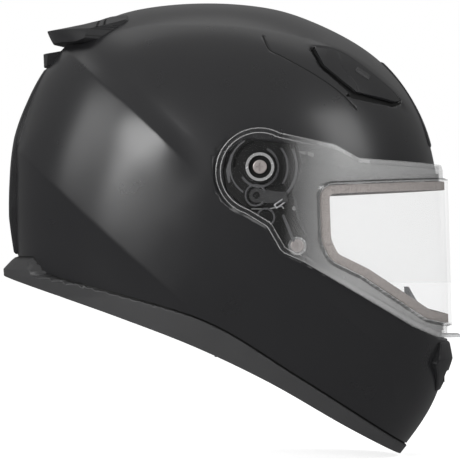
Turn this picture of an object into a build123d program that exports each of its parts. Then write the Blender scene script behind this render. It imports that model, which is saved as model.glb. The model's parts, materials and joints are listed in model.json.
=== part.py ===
from build123d import *
import math
import os

os.makedirs("parts", exist_ok=True)

# Full-face motorcycle helmet in the attitude in which it is worn. Millimetres.
# +X forward, +Y to the wearer's left, +Z up. The origin is on the mid-plane at the head's
# reference point. Side-view coordinates below are (x, z).

# ---- driving dimensions -------------------------------------------------------------------
# Outer surface of the shell, from the crown down:
# height, x of the rear, x of the front, half width, x of the widest place.
STATIONS = [
    (176.4, -5, -5, 0, -5),
    (173.2, -47, 36, 36, -5),
    (165, -77, 65.5, 60, -5),
    (150, -101, 97, 81, -5),
    (130, -120, 123.5, 98, -4),
    (105, -133, 142, 111, -3),
    (78, -141, 153.5, 119, -1),
    (45, -144, 160, 122.5, 2),
    (5, -142.5, 164, 121.5, 6),
    (-40, -136, 167, 116, 12),
    (-80, -124, 165.5, 108, 20),
    (-115, -105, 154, 98, 25),
    (-150, -78, 129, 85, 25),
]
FRONT_FULLNESS = 2.15   # exponent of the superellipse in front of the widest place
REAR_FULLNESS = 2.2     # and behind it
TOP = STATIONS[0][0]
BOTTOM = STATIONS[-1][0]
RING_POINTS = 36        # points round one level section
REACH = 200             # half length of the side-view cutting prisms

SHELL_WALL = 4.0
CLEARANCE = 0.3         # between layers that are separate pieces
EPS_DEPTH = 33.0        # inner face of the foam liner, below the outer surface
CHIN_EPS_DEPTH = 26.0
CROWN_DEPTH = 41.0      # inner face of the fabric crown liner
CHEEK_DEPTH = 50.0
NECK_ROLL_DEPTH = 45.0
TRIM_PROUD = 1.2
TRIM_DEPTH = 14.0

# Visor: a sheet bent round a vertical bow, turning about the pivot.
PIVOT = (31.3, 57.2)
VISOR_FRONT = 163.5     # outermost x at the height of the pivot
VISOR_RAKE = 0.03       # how far the front leans forward per mm downward
VISOR_HALF = 122.7
VISOR_BOW_START = 12.0  # the arms are flat behind this x
VISOR_FULLNESS = 2.15
VISOR_WALL = 2.5
VISOR_BACK = -40.0
WINDOW_PROUD = 3.5
PANE_WALL = 1.2
RECESS_GAP = 1.2        # shadow gap round the visor
RECESS_INSET = 4.0      # floor of the visor recess, below the visor's outer face
PLATE_INSET = 4.6       # outer face of the base plate, below the visor's outer face
PLATE_WALL = 4.4
HUB_R = 11.0
RING_R = 9.9
RING_HOLE_R = 7.9
PIVOT_HEAD_R = 4.8
LOWER_HEAD_R = 4.7
WASHER_R = 6.4
SCREW_R = 2.5
SCREW_HOLE_R = 2.8
RUNNING = 0.05          # radial clearance of the turning fits

LOWER_SCREW = (57.2, 2.7)
LEVER_PIVOT = (28.9, 37.7)
LEVER_TRAVEL = 12       # degrees
LEVER_FACE = 116.2      # half-width position of the lever's outer face
LEVER_WALL = 1.4

CHIN_SLOT = (44, -96, -84)   # width, lowest and highest z of the chin vent's slot
SHUTTER_FACE = 153.3    # x of the shutter's front face, behind the slot
SHUTTER_WALL = 1.5
MESH_FACE = 150.2
SLIDER = (12, 6)        # length and width of the brow vent slider
SLIDER_TRAVEL = 6

STRAP_X = 12
STRAP_WIDTH = 24
STRAP_WALL = 2.0
RING_WIRE = 3.2
ANCHOR_WALL = 2.0
RIVET_R = 3.0
SNAP_R = 6.0


# ---- outer surface ------------------------------------------------------------------------
def spline_moments(values, flat_start):
    """Second derivatives of the natural cubic through evenly spaced values."""
    last = len(values) - 1
    diagonal = [1.0] + [4.0] * (last - 1) + [1.0]
    right = [0.0] * (last + 1)
    for i in range(1, last):
        right[i] = 6.0 * (values[i + 1] - 2 * values[i] + values[i - 1])
    above = [0.0] + [1.0] * (last - 1) + [0.0]
    if flat_start:
        diagonal[0] = 2.0
        above[0] = 1.0
        right[0] = 6.0 * (values[1] - values[0])
    for i in range(1, last):
        share = 1.0 / diagonal[i - 1]
        diagonal[i] -= share * above[i - 1]
        right[i] -= share * right[i - 1]
    moments = [0.0] * (last + 1)
    for i in range(last - 1, -1, -1):
        moments[i] = (right[i] - above[i] * moments[i + 1]) / diagonal[i]
    return moments


def sample_column(index, steps=480):
    """One column of STATIONS as a smooth curve, sampled evenly from the crown down."""
    values = [station[index] for station in STATIONS]
    moments = spline_moments(values, flat_start=index == 0)
    samples = []
    for step in range(steps + 1):
        place = step * (len(values) - 1) / steps
        i = min(int(place), len(values) - 2)
        t = place - i
        bend = ((1 - t) ** 3 * moments[i] + t**3 * moments[i + 1]) / 6
        low = (values[i] - moments[i] / 6) * (1 - t)
        high = (values[i + 1] - moments[i + 1] / 6) * t
        samples.append(bend + low + high)
    return samples


HEIGHTS, REARS, FRONTS, HALVES, MIDDLES = [sample_column(i) for i in range(5)]


def inset_curve(reach, inset, outward):
    """A profile curve moved in by inset along its normals; outward is its sign of x."""
    moved = []
    last = len(HEIGHTS) - 1
    for i in range(last + 1):
        before, after = max(i - 1, 0), min(i + 1, last)
        run = reach[after] - reach[before]
        drop = HEIGHTS[after] - HEIGHTS[before]
        length = math.hypot(run, drop)
        side = -drop / length * outward
        rise = abs(run) / length if i < last // 3 else run / length * outward
        moved.append((reach[i] - side * inset, HEIGHTS[i] - rise * inset))
    return moved


def at_height(curve, z):
    """x of a falling curve at height z."""
    for (x0, z0), (x1, z1) in zip(curve, curve[1:]):
        if z0 >= z > z1:
            return x0 + (x1 - x0) * (z0 - z) / (z0 - z1)
    return curve[-1][0]


def section(z, inset):
    """Rear x, front x, half width and middle x of the level section at height z."""
    rear = at_height(inset_curve(REARS, inset, -1), z)
    front = at_height(inset_curve(FRONTS, inset, 1), z)
    half = at_height(inset_curve(HALVES, inset, 1), z)
    middle = at_height(list(zip(MIDDLES, HEIGHTS)), z)
    return rear, front, half, middle


def ring(z, inset, flare=0):
    """Points round a level section; flare pushes its rear back and fades to the sides."""
    rear, front, half, middle = section(z, inset)
    points = []
    for i in range(RING_POINTS):
        along = math.cos(2 * math.pi * i / RING_POINTS)
        across = math.sin(2 * math.pi * i / RING_POINTS)
        power = 2 / (FRONT_FULLNESS if along > 0 else REAR_FULLNESS)
        length = front - middle if along > 0 else middle - rear + flare
        x = middle + length * math.copysign(abs(along) ** power, along)
        y = half * math.copysign(abs(across) ** power, across)
        points.append((x, y))
    return points


def levels_body(levels, ruled=False):
    """Solid lofted through level sections, each (height, inset, rear flare)."""
    with BuildPart() as lofted:
        for height, inset, flare in levels:
            with BuildSketch(Plane.XY.offset(height)):
                with BuildLine():
                    Spline(*ring(height, inset, flare), periodic=True)
                make_face()
        loft(ruled=ruled)
    return lofted.part


def skull(inset):
    """The helmet's outer surface as a solid, moved in by inset."""
    top = TOP - inset
    height = top - BOTTOM
    steps = (0.12, 0.17, 0.23, 0.3, 0.38, 0.46, 0.54, 0.62, 0.7, 0.78, 0.86, 0.93, 1.0)
    levels = [(top - 0.35, inset, 0)]
    for step in steps:
        drop = height * (1 - math.cos(math.pi / 2 * step))
        levels.append((top - drop, inset, 0))
    return levels_body(levels)


def half_width(x, z, inset=0):
    """Half width of the outer surface at a side-view point."""
    rear, front, half, middle = section(z, inset)
    ahead = x > middle
    reach = (x - middle) / ((front if ahead else rear) - middle)
    power = FRONT_FULLNESS if ahead else REAR_FULLNESS
    return half * max(1 - reach**power, 0) ** (1 / power)


def surface_plane(start, end, proud):
    """Plane on the right side of the outer surface, midway and pointing from start to end."""
    (x0, z0), (x1, z1) = start, end
    x, z = (x0 + x1) / 2, (z0 + z1) / 2
    here = Vector(x, -half_width(x, z), z)
    ahead = Vector(x1, -half_width(x1, z1), z1) - Vector(x0, -half_width(x0, z0), z0)
    lift = Vector(x, -half_width(x, z + 1), z + 1) - here
    normal = ahead.cross(lift).normalized()
    if normal.Y > 0:
        normal = normal * -1
    return Plane(origin=here + normal * proud, x_dir=ahead, z_dir=normal)


# ---- visor surface ------------------------------------------------------------------------
def visor_half(x, inset=0):
    """Half width of the visor at the height of the pivot."""
    reach = max(x - VISOR_BOW_START, 0) / (VISOR_FRONT - VISOR_BOW_START - inset)
    return (VISOR_HALF - inset) * max(1 - reach**VISOR_FULLNESS, 0) ** (1 / VISOR_FULLNESS)


def visor_body(inset):
    """Solid inside the visor's outer face moved in by inset."""
    half = VISOR_HALF - inset
    power = 2 / VISOR_FULLNESS
    with BuildPart() as body:
        for height in (110, -90):
            front = VISOR_FRONT + (PIVOT[1] - height) * VISOR_RAKE - inset
            reach = front - VISOR_BOW_START
            bow = []
            for i in range(-9, 10):
                turn = math.radians(10 * i)
                x = VISOR_BOW_START + reach * abs(math.cos(turn)) ** power
                y = half * math.copysign(abs(math.sin(turn)) ** power, turn)
                bow.append((x, y))
            with BuildSketch(Plane.XY.offset(height)):
                with BuildLine():
                    Spline(*bow)
                    Polyline(bow[-1], (VISOR_BACK, half), (VISOR_BACK, -half), bow[0])
                make_face()
        loft(ruled=True)
    return body.part


# ---- side-view outlines -------------------------------------------------------------------
def outline(points, radius=0):
    """Closed side-view face with rounded corners."""
    with BuildSketch() as face:
        with BuildLine():
            Polyline(*points, close=True)
        make_face()
        if radius:
            fillet(face.vertices(), radius)
    return face.sketch


def grown(face, amount):
    with BuildSketch() as larger:
        add(face)
        offset(amount=amount)
    return larger.sketch


def prism(face, plane=Plane.XZ):
    """Face extruded both ways from the plane, right across the helmet."""
    with BuildPart() as solid:
        with BuildSketch(plane):
            add(face)
        extrude(amount=REACH, both=True)
    return solid.part


def common(*parts):
    """What all the parts share."""
    with BuildPart() as shared:
        add(parts[0])
        for other in parts[1:]:
            add(other, mode=Mode.INTERSECT)
    return shared.part


def less(part, *cuts):
    with BuildPart() as rest:
        add(part)
        for cut in cuts:
            add(cut, mode=Mode.SUBTRACT)
    return rest.part


def box_between(x, y, z):
    """Box from its x, y and z ranges."""
    centre = ((x[0] + x[1]) / 2, (y[0] + y[1]) / 2, (z[0] + z[1]) / 2)
    with BuildPart() as block:
        with Locations(centre):
            Box(x[1] - x[0], y[1] - y[0], z[1] - z[0])
    return block.part


def side_plane(place, half):
    """Plane on the right side at half width half, facing outward."""
    return Plane(origin=(place[0], -half, place[1]), x_dir=(1, 0, 0), z_dir=(0, -1, 0))


def rod(place, radius, inner, outer):
    """Cylinder across the right side between two half widths."""
    with BuildPart() as cylinder:
        with BuildSketch(side_plane(place, inner)):
            Circle(radius)
        extrude(amount=outer - inner)
    return cylinder.part


RIGHT = box_between((-REACH, REACH), (-REACH, 0), (-REACH, REACH))

with BuildSketch() as visor_sketch:
    with BuildLine():
        rear_end = CenterArc((31.2, 53.8), 30.5, 62, 190)
        Polyline(
            rear_end @ 1, (36.5, 16), (46.5, -1.5), (62, -8.3), (141, -54), (160, -62.3),
            (190, -64), (190, 58.7), (101, 63.6), (84, 72.9), rear_end @ 0,
        )
    make_face()
    corners = visor_sketch.vertices().filter_by_position(Axis.X, 36, 165)
    fillet(corners, 3.5)
visor_face = visor_sketch.sketch

with BuildSketch() as window_sketch:
    with BuildLine():
        FilletPolyline(
            (190, 51.8), (70.5, 46.5), (72, 5), (79, -9), (102, -20.2), (148, -50.5),
            (190, -61), radius=(11, 24, 14, 30, 14),
        )
        Line((190, -61), (190, 51.8))
    make_face()
window_face = window_sketch.sketch
port_face = grown(window_face, -1.5)

plate_face = outline(
    [(22, 76), (56, 72.5), (59, 60), (53.5, 40), (57, 22), (63.8, 9), (64.2, 0), (58.5, -4.3),
     (51.5, -1.5), (46, 7), (38.5, 20), (22, 29), (9, 40), (6.5, 55), (10, 68)],
    radius=1.5,
)
plate_hole_face = grown(plate_face, 0.6)

# The neck line: a step at the rear, then one long curve forward along the jaw.
SEAM = [(-117.2, -17.1), (-60, -31.8), (-9, -47.3), (60, -88.5), (137, -138.7), (180, -166)]
RIM = [(-180, -9.5), (-143, -21.6), (-65, -47.5), (-14, -67), (38, -92), (90, -122.5), (180, -172)]

with BuildSketch() as below_seam_sketch:
    with BuildLine():
        Polyline((-180, -260), (-180, -4.2), (-127.4, -4.9), SEAM[0])
        Spline(*SEAM)
        Polyline(SEAM[-1], (180, -260), (-180, -260))
    make_face()
below_seam_face = below_seam_sketch.sketch

with BuildSketch() as below_rim_sketch:
    with BuildLine():
        Spline(*RIM)
        Polyline(RIM[-1], (180, -260), (-180, -260), RIM[0])
    make_face()
below_rim_face = below_rim_sketch.sketch

# ---- shared solids ------------------------------------------------------------------------
outer_skin = skull(0)
below_seam = prism(below_seam_face)
below_rim = prism(below_rim_face)
port = prism(port_face)
visor_outside = visor_body(0)


def recessed(form, clearance, wall):
    """The form with the visor recess and the base plate pockets pressed into it."""
    depth = RECESS_INSET + wall
    pocket_depth = PLATE_INSET + PLATE_WALL + CLEARANCE + wall
    recess = less(prism(grown(visor_face, RECESS_GAP + clearance)), visor_body(depth))
    pocket = less(prism(grown(plate_hole_face, clearance)), visor_body(pocket_depth))
    return less(form, recess, pocket)


outer_form = recessed(outer_skin, 0, 0)
inner_form = recessed(skull(SHELL_WALL), SHELL_WALL, SHELL_WALL - 0.5)
foam_form = recessed(
    skull(SHELL_WALL + CLEARANCE), SHELL_WALL + CLEARANCE, SHELL_WALL - 0.5 + CLEARANCE
)
foam_inside = skull(EPS_DEPTH)
pad_outside = skull(EPS_DEPTH + CLEARANCE)

pieces = {}


def finish(name, part):
    """Label one piece and write it."""
    with BuildPart() as piece:
        add(part)
    piece.part.label = name
    export_step(piece.part, f"parts/{name}.step")
    pieces[name] = piece.part


def finish_pair(name, part):
    """Write a right-hand piece and its mirror image."""
    finish(f"{name}_right", part)
    with BuildPart() as left:
        mirror(part, about=Plane.XZ)
    finish(f"{name}_left", left.part)


def both_sides(part):
    """The part and its mirror image as one group."""
    with BuildPart() as pair:
        add(part)
        mirror(part, about=Plane.XZ)
    return pair.part


# ---- shell --------------------------------------------------------------------------------
chin_slot_hole = box_between((130, 180), (-CHIN_SLOT[0] / 2, CHIN_SLOT[0] / 2), CHIN_SLOT[1:])
screw_holes = [rod(place, SCREW_HOLE_R, 100, 125) for place in (PIVOT, LOWER_SCREW)]
screw_holes += [mirror(hole, about=Plane.XZ) for hole in screw_holes]
shell = less(outer_form, inner_form, port, below_seam, chin_slot_hole, *screw_holes)
finish("shell", shell)

# ---- eye port seal ------------------------------------------------------------------------
seal_ring = less(prism(grown(port_face, 5)), prism(grown(port_face, -1.6)))
seal_block = less(common(visor_body(3.1), seal_ring), skull(9))
finish("eye_port_seal", less(seal_block, shell))

# ---- neck trim ----------------------------------------------------------------------------
trim_zone = less(below_seam, below_rim)
trim_band = common(skull(-TRIM_PROUD), trim_zone)
flare_form = levels_body(
    [(-4, 0.4, 0.5), (-14, 0.4, 11.2), (-19, 0.4, 11.5), (-32, 0.4, 1)], ruled=True
)
flare = common(flare_form, trim_zone)
trim_notches = both_sides(box_between((STRAP_X - 14, STRAP_X + 14), (-105.5, -78), (-100, -28)))
with BuildPart() as neck_trim:
    add(trim_band)
    add(flare)
    add(skull(TRIM_DEPTH), mode=Mode.SUBTRACT)
    add(trim_notches, mode=Mode.SUBTRACT)
finish("neck_trim", neck_trim.part)

# ---- snaps that hold the cheek pads ---------------------------------------------------------
snaps = []
for place in ((0, -25), (40, -20), (62, -50)):
    wall = half_width(*place) - EPS_DEPTH
    snaps.append(rod(place, SNAP_R, wall - 1.6, wall - 0.5))
with BuildPart() as cheek_snaps:
    for snap in snaps:
        add(snap)
        mirror(snap, about=Plane.XZ)
finish("cheek_pad_snaps", cheek_snaps.part)

# ---- breath guard -------------------------------------------------------------------------
front_half = box_between((100, 200), (-REACH, REACH), (-REACH, REACH))
guard_outer = levels_body([(-57, 10.5, 0), (-27, 27, 0)], ruled=True)
guard_inner = levels_body([(-57, 12.7, 0), (-27, 29.2, 0)], ruled=True)
guard_face = outline(
    [(-46, -57), (46, -57), (30, -36), (12, -27.2), (-12, -27.2), (-30, -36)], radius=4
)
guard = less(common(guard_outer, prism(guard_face, Plane.YZ), front_half), guard_inner)
finish("breath_guard", guard)

# ---- foam liners --------------------------------------------------------------------------
foam_port = prism(grown(port_face, 5 + CLEARANCE))
chin_face = outline([(74, -5), (190, -60), (190, -190), (50, -190), (74, -60)])
insert_pockets = [rod(PIVOT, 7.5, 100, 116), rod(LOWER_SCREW, 7.5, 98, 114)]
insert_pockets += [mirror(hole, about=Plane.XZ) for hole in insert_pockets]
strap_channels = both_sides(box_between((-3, 27), (-112, -78), (-90, -28)))
raised_seam = Pos(0, 0, 1) * below_seam
eps_liner = less(
    foam_form, foam_inside, foam_port, raised_seam, prism(grown(chin_face, CLEARANCE)),
    *insert_pockets, strap_channels, cheek_snaps.part,
)
finish("eps_liner", eps_liner)

shutter_pocket = box_between((MESH_FACE - 2, 170), (-28, 28), (-101, -72))
vent_duct = box_between((120, 170), (-19, 19), CHIN_SLOT[1:])
eps_chin = less(
    common(foam_form, prism(chin_face)), skull(CHIN_EPS_DEPTH), foam_port, raised_seam,
    shutter_pocket, vent_duct, guard,
)
finish("eps_chin_liner", eps_chin)

# ---- fabric liners ------------------------------------------------------------------------
crown_zone = prism(outline(
    [(-150, 6), (52, 6), (63, 18), (66, 43.5), (150, 43.5), (150, 200), (-150, 200)], radius=3
))
finish("crown_liner", common(less(pad_outside, skull(CROWN_DEPTH)), crown_zone))

cheek_zone = prism(outline(
    [(-22, 3), (48, 3), (62, -8), (98, -31), (96, -62), (74, -92), (44, -72), (-4, -54),
     (-22, -42)], radius=6,
))
cheek_band = less(pad_outside, skull(CHEEK_DEPTH))
finish_pair("cheek_pad", less(common(cheek_band, cheek_zone, RIGHT), *snaps))

roll_zone = prism(outline(
    [(-150, 2), (-26, 2), (-26, -44), (-70, -38), (-108, -24), (-150, -16)], radius=3
))
finish("neck_roll", common(less(pad_outside, skull(NECK_ROLL_DEPTH)), roll_zone))

# ---- chin vent ----------------------------------------------------------------------------
vent_front = outline(
    [(-48, -81), (-40, -66), (40, -66), (48, -81), (26, -101), (-26, -101)], radius=3
)
vent_slot = outline([(-25, -97.5), (25, -97.5), (29, -83), (-29, -83)], radius=2)
vent_form = levels_body([(-62, -0.4, 0), (-77.5, -5, 0), (-103, -0.8, 0)], ruled=True)
chin_vent = less(
    common(vent_form, prism(vent_front, Plane.YZ), front_half), outer_form,
    prism(vent_slot, Plane.YZ),
)
finish("chin_vent_housing", chin_vent)

with BuildPart() as shutter:
    add(box_between((SHUTTER_FACE - SHUTTER_WALL, SHUTTER_FACE), (-23, 23), (-98, -82.5)))
    add(box_between((SHUTTER_FACE - 0.5, 165), (-4, 4), (-95.5, -91.5)))
    fillet(shutter.edges().filter_by(Axis.X).group_by(Axis.Y)[0], 2)
    fillet(shutter.edges().filter_by(Axis.X).group_by(Axis.Y)[-1], 2)
finish("chin_vent_shutter", shutter.part)

with BuildPart() as mesh:
    add(box_between((MESH_FACE - 1, MESH_FACE), (-24, 24), (-99, -81)))
    with BuildSketch(Plane.YZ.offset(MESH_FACE - 2)):
        with GridLocations(4.2, 4.2, 10, 4):
            with Locations((0, -90)):
                Rectangle(3.0, 3.0)
    extrude(amount=4, mode=Mode.SUBTRACT)
finish("chin_vent_mesh", mesh.part)

# ---- brow vents ---------------------------------------------------------------------------
brow_face = outline(
    [(69, 141), (75.5, 128.3), (91, 107), (100, 98), (124, 99.5), (131, 104.5), (108, 124),
     (88, 137)], radius=2,
)
brow_form = levels_body([(97, -0.6, 0), (104, -2.6, 0), (120, -5, 0), (143, -7, 0)])
brow_body = less(common(brow_form, prism(brow_face), RIGHT), outer_form)
track = surface_plane((88, 128), (113, 112), 3.2)
with BuildPart() as groove:
    with BuildSketch(track):
        with Locations((SLIDER_TRAVEL / 2, 0)):
            Rectangle(SLIDER[0] + SLIDER_TRAVEL + 0.8, SLIDER[1] + 0.8)
    extrude(amount=20)
finish_pair("brow_vent_housing", less(brow_body, groove.part))

with BuildPart() as slider:
    with BuildSketch(track.offset(0.4)):
        Rectangle(*SLIDER)
    extrude(amount=1.9)
    with BuildSketch(track.offset(2.3)):
        with Locations((-3.5, 0), (0, 0), (3.5, 0)):
            Rectangle(1.4, SLIDER[1] - 1)
    extrude(amount=0.4)
finish_pair("brow_vent_slider", slider.part)

# ---- forehead panel, spoiler and exhaust --------------------------------------------------
forehead_face = outline(
    [(-24, 73), (24, 73), (17, 112), (15, 134), (-15, 134), (-17, 112)], radius=3
)
forehead = less(common(skull(-1.5), prism(forehead_face, Plane.YZ), front_half), outer_form)
finish("forehead_panel", forehead)

wing_levels = [
    (144.8, 0, 1), (146.5, 0, 10.5), (155.4, 0, 26.2), (156.9, 0, 20), (160, 0, 9.4),
    (163, 0, 2.6), (165.4, 0, 0.4),
]
wing_form = levels_body(wing_levels, ruled=True)
wing_face = outline(
    [(-62, -50), (-62, 50), (-100, 58), (-130, 44), (-130, -44), (-100, -58)], radius=4
)
wing_zone = prism(
    outline([(-140, 142), (-105, 143.6), (-84, 151.5), (-60, 161), (-60, 175), (-140, 175)])
)
wing = less(common(wing_form, prism(wing_face, Plane.XY), wing_zone), outer_skin)
finish("rear_spoiler", wing)

rear_half = box_between((-200, -60), (-REACH, REACH), (-REACH, REACH))
cover_form = levels_body([(129.9, 0, 2.8), (139.5, 0, 11), (141.5, 0, 1)], ruled=True)
cover_zone = prism(outline([(-130, 142), (-95, 142), (-113, 131.4), (-130, 129.9)]))
cover_face = outline([(-30, 141.5), (30, 141.5), (26, 129.9), (-26, 129.9)])
cover = less(common(cover_form, cover_zone, prism(cover_face, Plane.YZ), rear_half), outer_skin)
finish("rear_exhaust_cover", cover)

panel_levels = [
    (129.5, 0, 1.5), (105, 0, 2.2), (80, 0, 3.6), (49, 0, 3.7), (23, 0, 4.3), (-3.6, 0, 2.6),
]
panel_form = levels_body(panel_levels)
panel_face = outline(
    [(-24, 129.4), (24, 129.4), (30, 75), (24, 30), (16, -3.5), (-16, -3.5), (-24, 30), (-30, 75)],
    radius=2,
)
panel = less(common(panel_form, prism(panel_face, Plane.YZ), rear_half), outer_skin)
finish("rear_exhaust_panel", panel)

# ---- visor --------------------------------------------------------------------------------
hub_hole = rod(PIVOT, HUB_R + RUNNING, 90, 130)
hub_holes = [hub_hole, mirror(hub_hole, about=Plane.XZ)]
window = prism(window_face)
window_proud = visor_body(-WINDOW_PROUD)
window_inside = visor_body(VISOR_WALL - WINDOW_PROUD)
visor_inside = visor_body(VISOR_WALL)
visor_sheet = less(common(visor_outside, prism(visor_face)), visor_inside, window, *hub_holes)
window_sheet = less(common(window_proud, window), window_inside)
border = less(common(window_proud, less(window, prism(grown(window_face, -2.2)))), visor_inside)
with BuildSketch(Plane.XY.offset(-63)) as tab_sketch:
    with BuildLine():
        Polyline((165.2, -24), (175.7, -17), (175.7, 17), (165.2, 24), close=True)
    make_face()
    fillet(tab_sketch.vertices().group_by(Axis.X)[-1], 4)
with BuildPart() as tab:
    add(tab_sketch.sketch)
    extrude(amount=2.2)
with BuildPart() as visor:
    add(visor_sheet)
    add(window_sheet)
    add(border)
    add(tab.part)
finish("visor", visor.part)

gasket_outer = visor_body(VISOR_WALL - WINDOW_PROUD + RUNNING)
gasket_inner = visor_body(VISOR_WALL - PANE_WALL - RUNNING)
gasket_ring = less(prism(grown(window_face, -2.3)), prism(grown(window_face, -8.2)))
finish("visor_gasket", less(common(gasket_outer, gasket_ring), gasket_inner))
pane_zone = prism(grown(window_face, -2.3))
pane = less(common(visor_body(VISOR_WALL - PANE_WALL), pane_zone), visor_inside)
finish("visor_inner_pane", pane)

# ---- visor base plate, pivot and screws ---------------------------------------------------
hub_end = visor_half(PIVOT[0]) + 0.5
hub_floor = hub_end - 2.8
plate_outer = visor_body(PLATE_INSET)
plate_inner = visor_body(PLATE_INSET + PLATE_WALL)
plate = less(common(plate_outer, prism(plate_face), RIGHT), plate_inner)
washer_floor = visor_half(LOWER_SCREW[0], PLATE_INSET) - 1.8

with BuildSketch() as lever_sketch:
    Circle(5)
    with BuildLine():
        Polyline((0, 4.9), (14, 2.6), (20.4, 2.2), (22.2, -4.6), (15, -5.6), (0, -4.9), close=True)
    make_face()
lever_face = lever_sketch.sketch
with BuildSketch() as lever_room_sketch:
    for turn in (0, LEVER_TRAVEL / 2, LEVER_TRAVEL + 2):
        with Locations(Location(LEVER_PIVOT, turn)):
            add(lever_face)
    with Locations((36, 30.5)):
        Rectangle(26, 7)
    offset(amount=0.6)
with BuildSketch() as detent_slots:
    for radius in (17.5, 23.5):
        SlotArc(CenterArc(PIVOT, radius, 105, 75, mode=Mode.PRIVATE), 2.4)
with BuildPart() as base_plate:
    add(plate)
    add(rod(PIVOT, HUB_R, 114.5, hub_end))
    add(rod(PIVOT, RING_R + 0.02, hub_floor, 130), mode=Mode.SUBTRACT)
    add(rod(PIVOT, SCREW_HOLE_R, 100, 130), mode=Mode.SUBTRACT)
    add(rod(LOWER_SCREW, WASHER_R + 0.1, washer_floor, 130), mode=Mode.SUBTRACT)
    add(rod(LOWER_SCREW, SCREW_HOLE_R, 100, 130), mode=Mode.SUBTRACT)
    with BuildSketch(side_plane((0, 0), LEVER_FACE - LEVER_WALL - 0.4)):
        add(lever_room_sketch.sketch)
    extrude(amount=20, mode=Mode.SUBTRACT)
    with BuildSketch(side_plane((0, 0), LEVER_FACE - 1.2)):
        add(detent_slots.sketch)
    extrude(amount=20, mode=Mode.SUBTRACT)
    add(rod(LEVER_PIVOT, 2.5, LEVER_FACE - LEVER_WALL - 1, LEVER_FACE + 0.4))
finish_pair("visor_base_plate", base_plate.part)

ring_hole = rod(PIVOT, RING_HOLE_R, hub_floor - 1, hub_end + 1)
finish_pair("pivot_ring", less(rod(PIVOT, RING_R, hub_floor, hub_end + 0.3), ring_hole))


def cross_head_screw(place, floor, head_r, head_height, tip):
    """Pan head screw with a cross recess, its head on the floor and its tip inside."""
    with BuildPart() as screw:
        add(rod(place, SCREW_R, tip, floor))
        add(rod(place, head_r, floor, floor + head_height))
        fillet(screw.edges().group_by(Axis.Y)[0], 0.6)
        with BuildSketch(side_plane(place, floor + head_height - 1)):
            Rectangle(head_r * 1.1, 1)
            Rectangle(1, head_r * 1.1)
        extrude(amount=2, mode=Mode.SUBTRACT)
    return screw.part


pivot_screw = cross_head_screw(PIVOT, hub_floor, PIVOT_HEAD_R, 2.4, 104)
finish("pivot_screws", both_sides(pivot_screw))
washer_top = washer_floor + 0.8
lower_screw = cross_head_screw(LOWER_SCREW, washer_top, LOWER_HEAD_R, 1.2, 102)
finish("lower_screws", both_sides(lower_screw))
washer_disc = rod(LOWER_SCREW, WASHER_R, washer_floor, washer_top)
washer = less(washer_disc, rod(LOWER_SCREW, SCREW_R + 0.1, 90, 130))
finish("lower_screw_washers", both_sides(washer))

inserts = []
for place in (PIVOT, LOWER_SCREW):
    seat = visor_half(place[0], PLATE_INSET + PLATE_WALL + SHELL_WALL) - 1.4
    barrel = rod(place, 4, seat - 5.5, seat)
    flange = rod(place, 6.5, seat - 1.5, seat)
    with BuildPart() as insert:
        add(barrel)
        add(flange)
        add(rod(place, SCREW_R + 0.02, 90, 130), mode=Mode.SUBTRACT)
    inserts.append(insert.part)
with BuildPart() as insert_group:
    for insert_solid in inserts:
        add(insert_solid)
        mirror(insert_solid, about=Plane.XZ)
finish("threaded_inserts", insert_group.part)

# ---- release lever and its spring ---------------------------------------------------------
with BuildPart() as lever:
    with BuildSketch(side_plane(LEVER_PIVOT, LEVER_FACE - LEVER_WALL)):
        add(lever_face)
        Circle(2.5 + RUNNING, mode=Mode.SUBTRACT)
    extrude(amount=LEVER_WALL)
finish_pair("release_lever", lever.part)

spring_plane = side_plane((0, 0), LEVER_FACE - LEVER_WALL + 0.6)
with BuildPart() as spring:
    with BuildLine(spring_plane) as spring_path:
        FilletPolyline((25.5, 28.2), (38, 28.2), (46.5, 30.2), (47.8, 28.4), radius=0.7)
    with BuildSketch(Plane(origin=spring_path.line @ 0, z_dir=spring_path.line % 0)):
        Circle(0.45)
    sweep()
finish_pair("lever_spring", spring.part)

# ---- chin strap ---------------------------------------------------------------------------
def strap(path_points, radii):
    """Webbing laid along a path across the helmet; the path is in (y, z)."""
    with BuildPart() as webbing:
        with BuildSketch(Plane.YZ.offset(STRAP_X)):
            with BuildLine() as path:
                FilletPolyline(*path_points, radius=radii)
            trace(path.line, STRAP_WALL)
        extrude(amount=STRAP_WIDTH / 2, both=True)
    return webbing.part


anchor_face = 105.2
rivets = []
for rivet_x in (STRAP_X - 6, STRAP_X + 6):
    rivets.append(rod((rivet_x, -38.5), RIVET_R, anchor_face - 3.6, 110))
with BuildPart() as rivet_group:
    for rivet in rivets:
        add(rivet)
        mirror(rivet, about=Plane.XZ)
finish("strap_rivets", rivet_group.part)
anchor = box_between(
    (STRAP_X - 14, STRAP_X + 14), (-anchor_face - ANCHOR_WALL, -anchor_face), (-46, -31)
)
finish_pair("strap_anchor", less(anchor, *rivets))
strap_right = strap([(-104, -33), (-98, -62), (-78, -74.3), (20, -74.3)], [14, 12])
strap_left = strap([(104, -33), (98, -62), (80, -71.3), (40, -71.3)], [14, 12])
finish("chin_strap_right", less(strap_right, rivet_group.part))
finish("chin_strap_left", less(strap_left, rivet_group.part))

with BuildSketch() as d_outer:
    with BuildLine():
        ThreePointArc((STRAP_X - 17, 38), (STRAP_X, 18), (STRAP_X + 17, 38))
        Line((STRAP_X + 17, 38), (STRAP_X - 17, 38))
    make_face()
    fillet(d_outer.vertices(), 3)
with BuildPart() as d_rings:
    for level in (-73.1, -69.7):
        with BuildSketch(Plane.XY.offset(level)):
            add(d_outer.sketch)
            offset(amount=-RING_WIRE, mode=Mode.SUBTRACT)
        extrude(amount=RING_WIRE)
finish("d_rings", d_rings.part)
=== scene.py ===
import json
import math

import bmesh
import bpy
import numpy as np
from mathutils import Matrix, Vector
from mathutils.kdtree import KDTree


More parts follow.
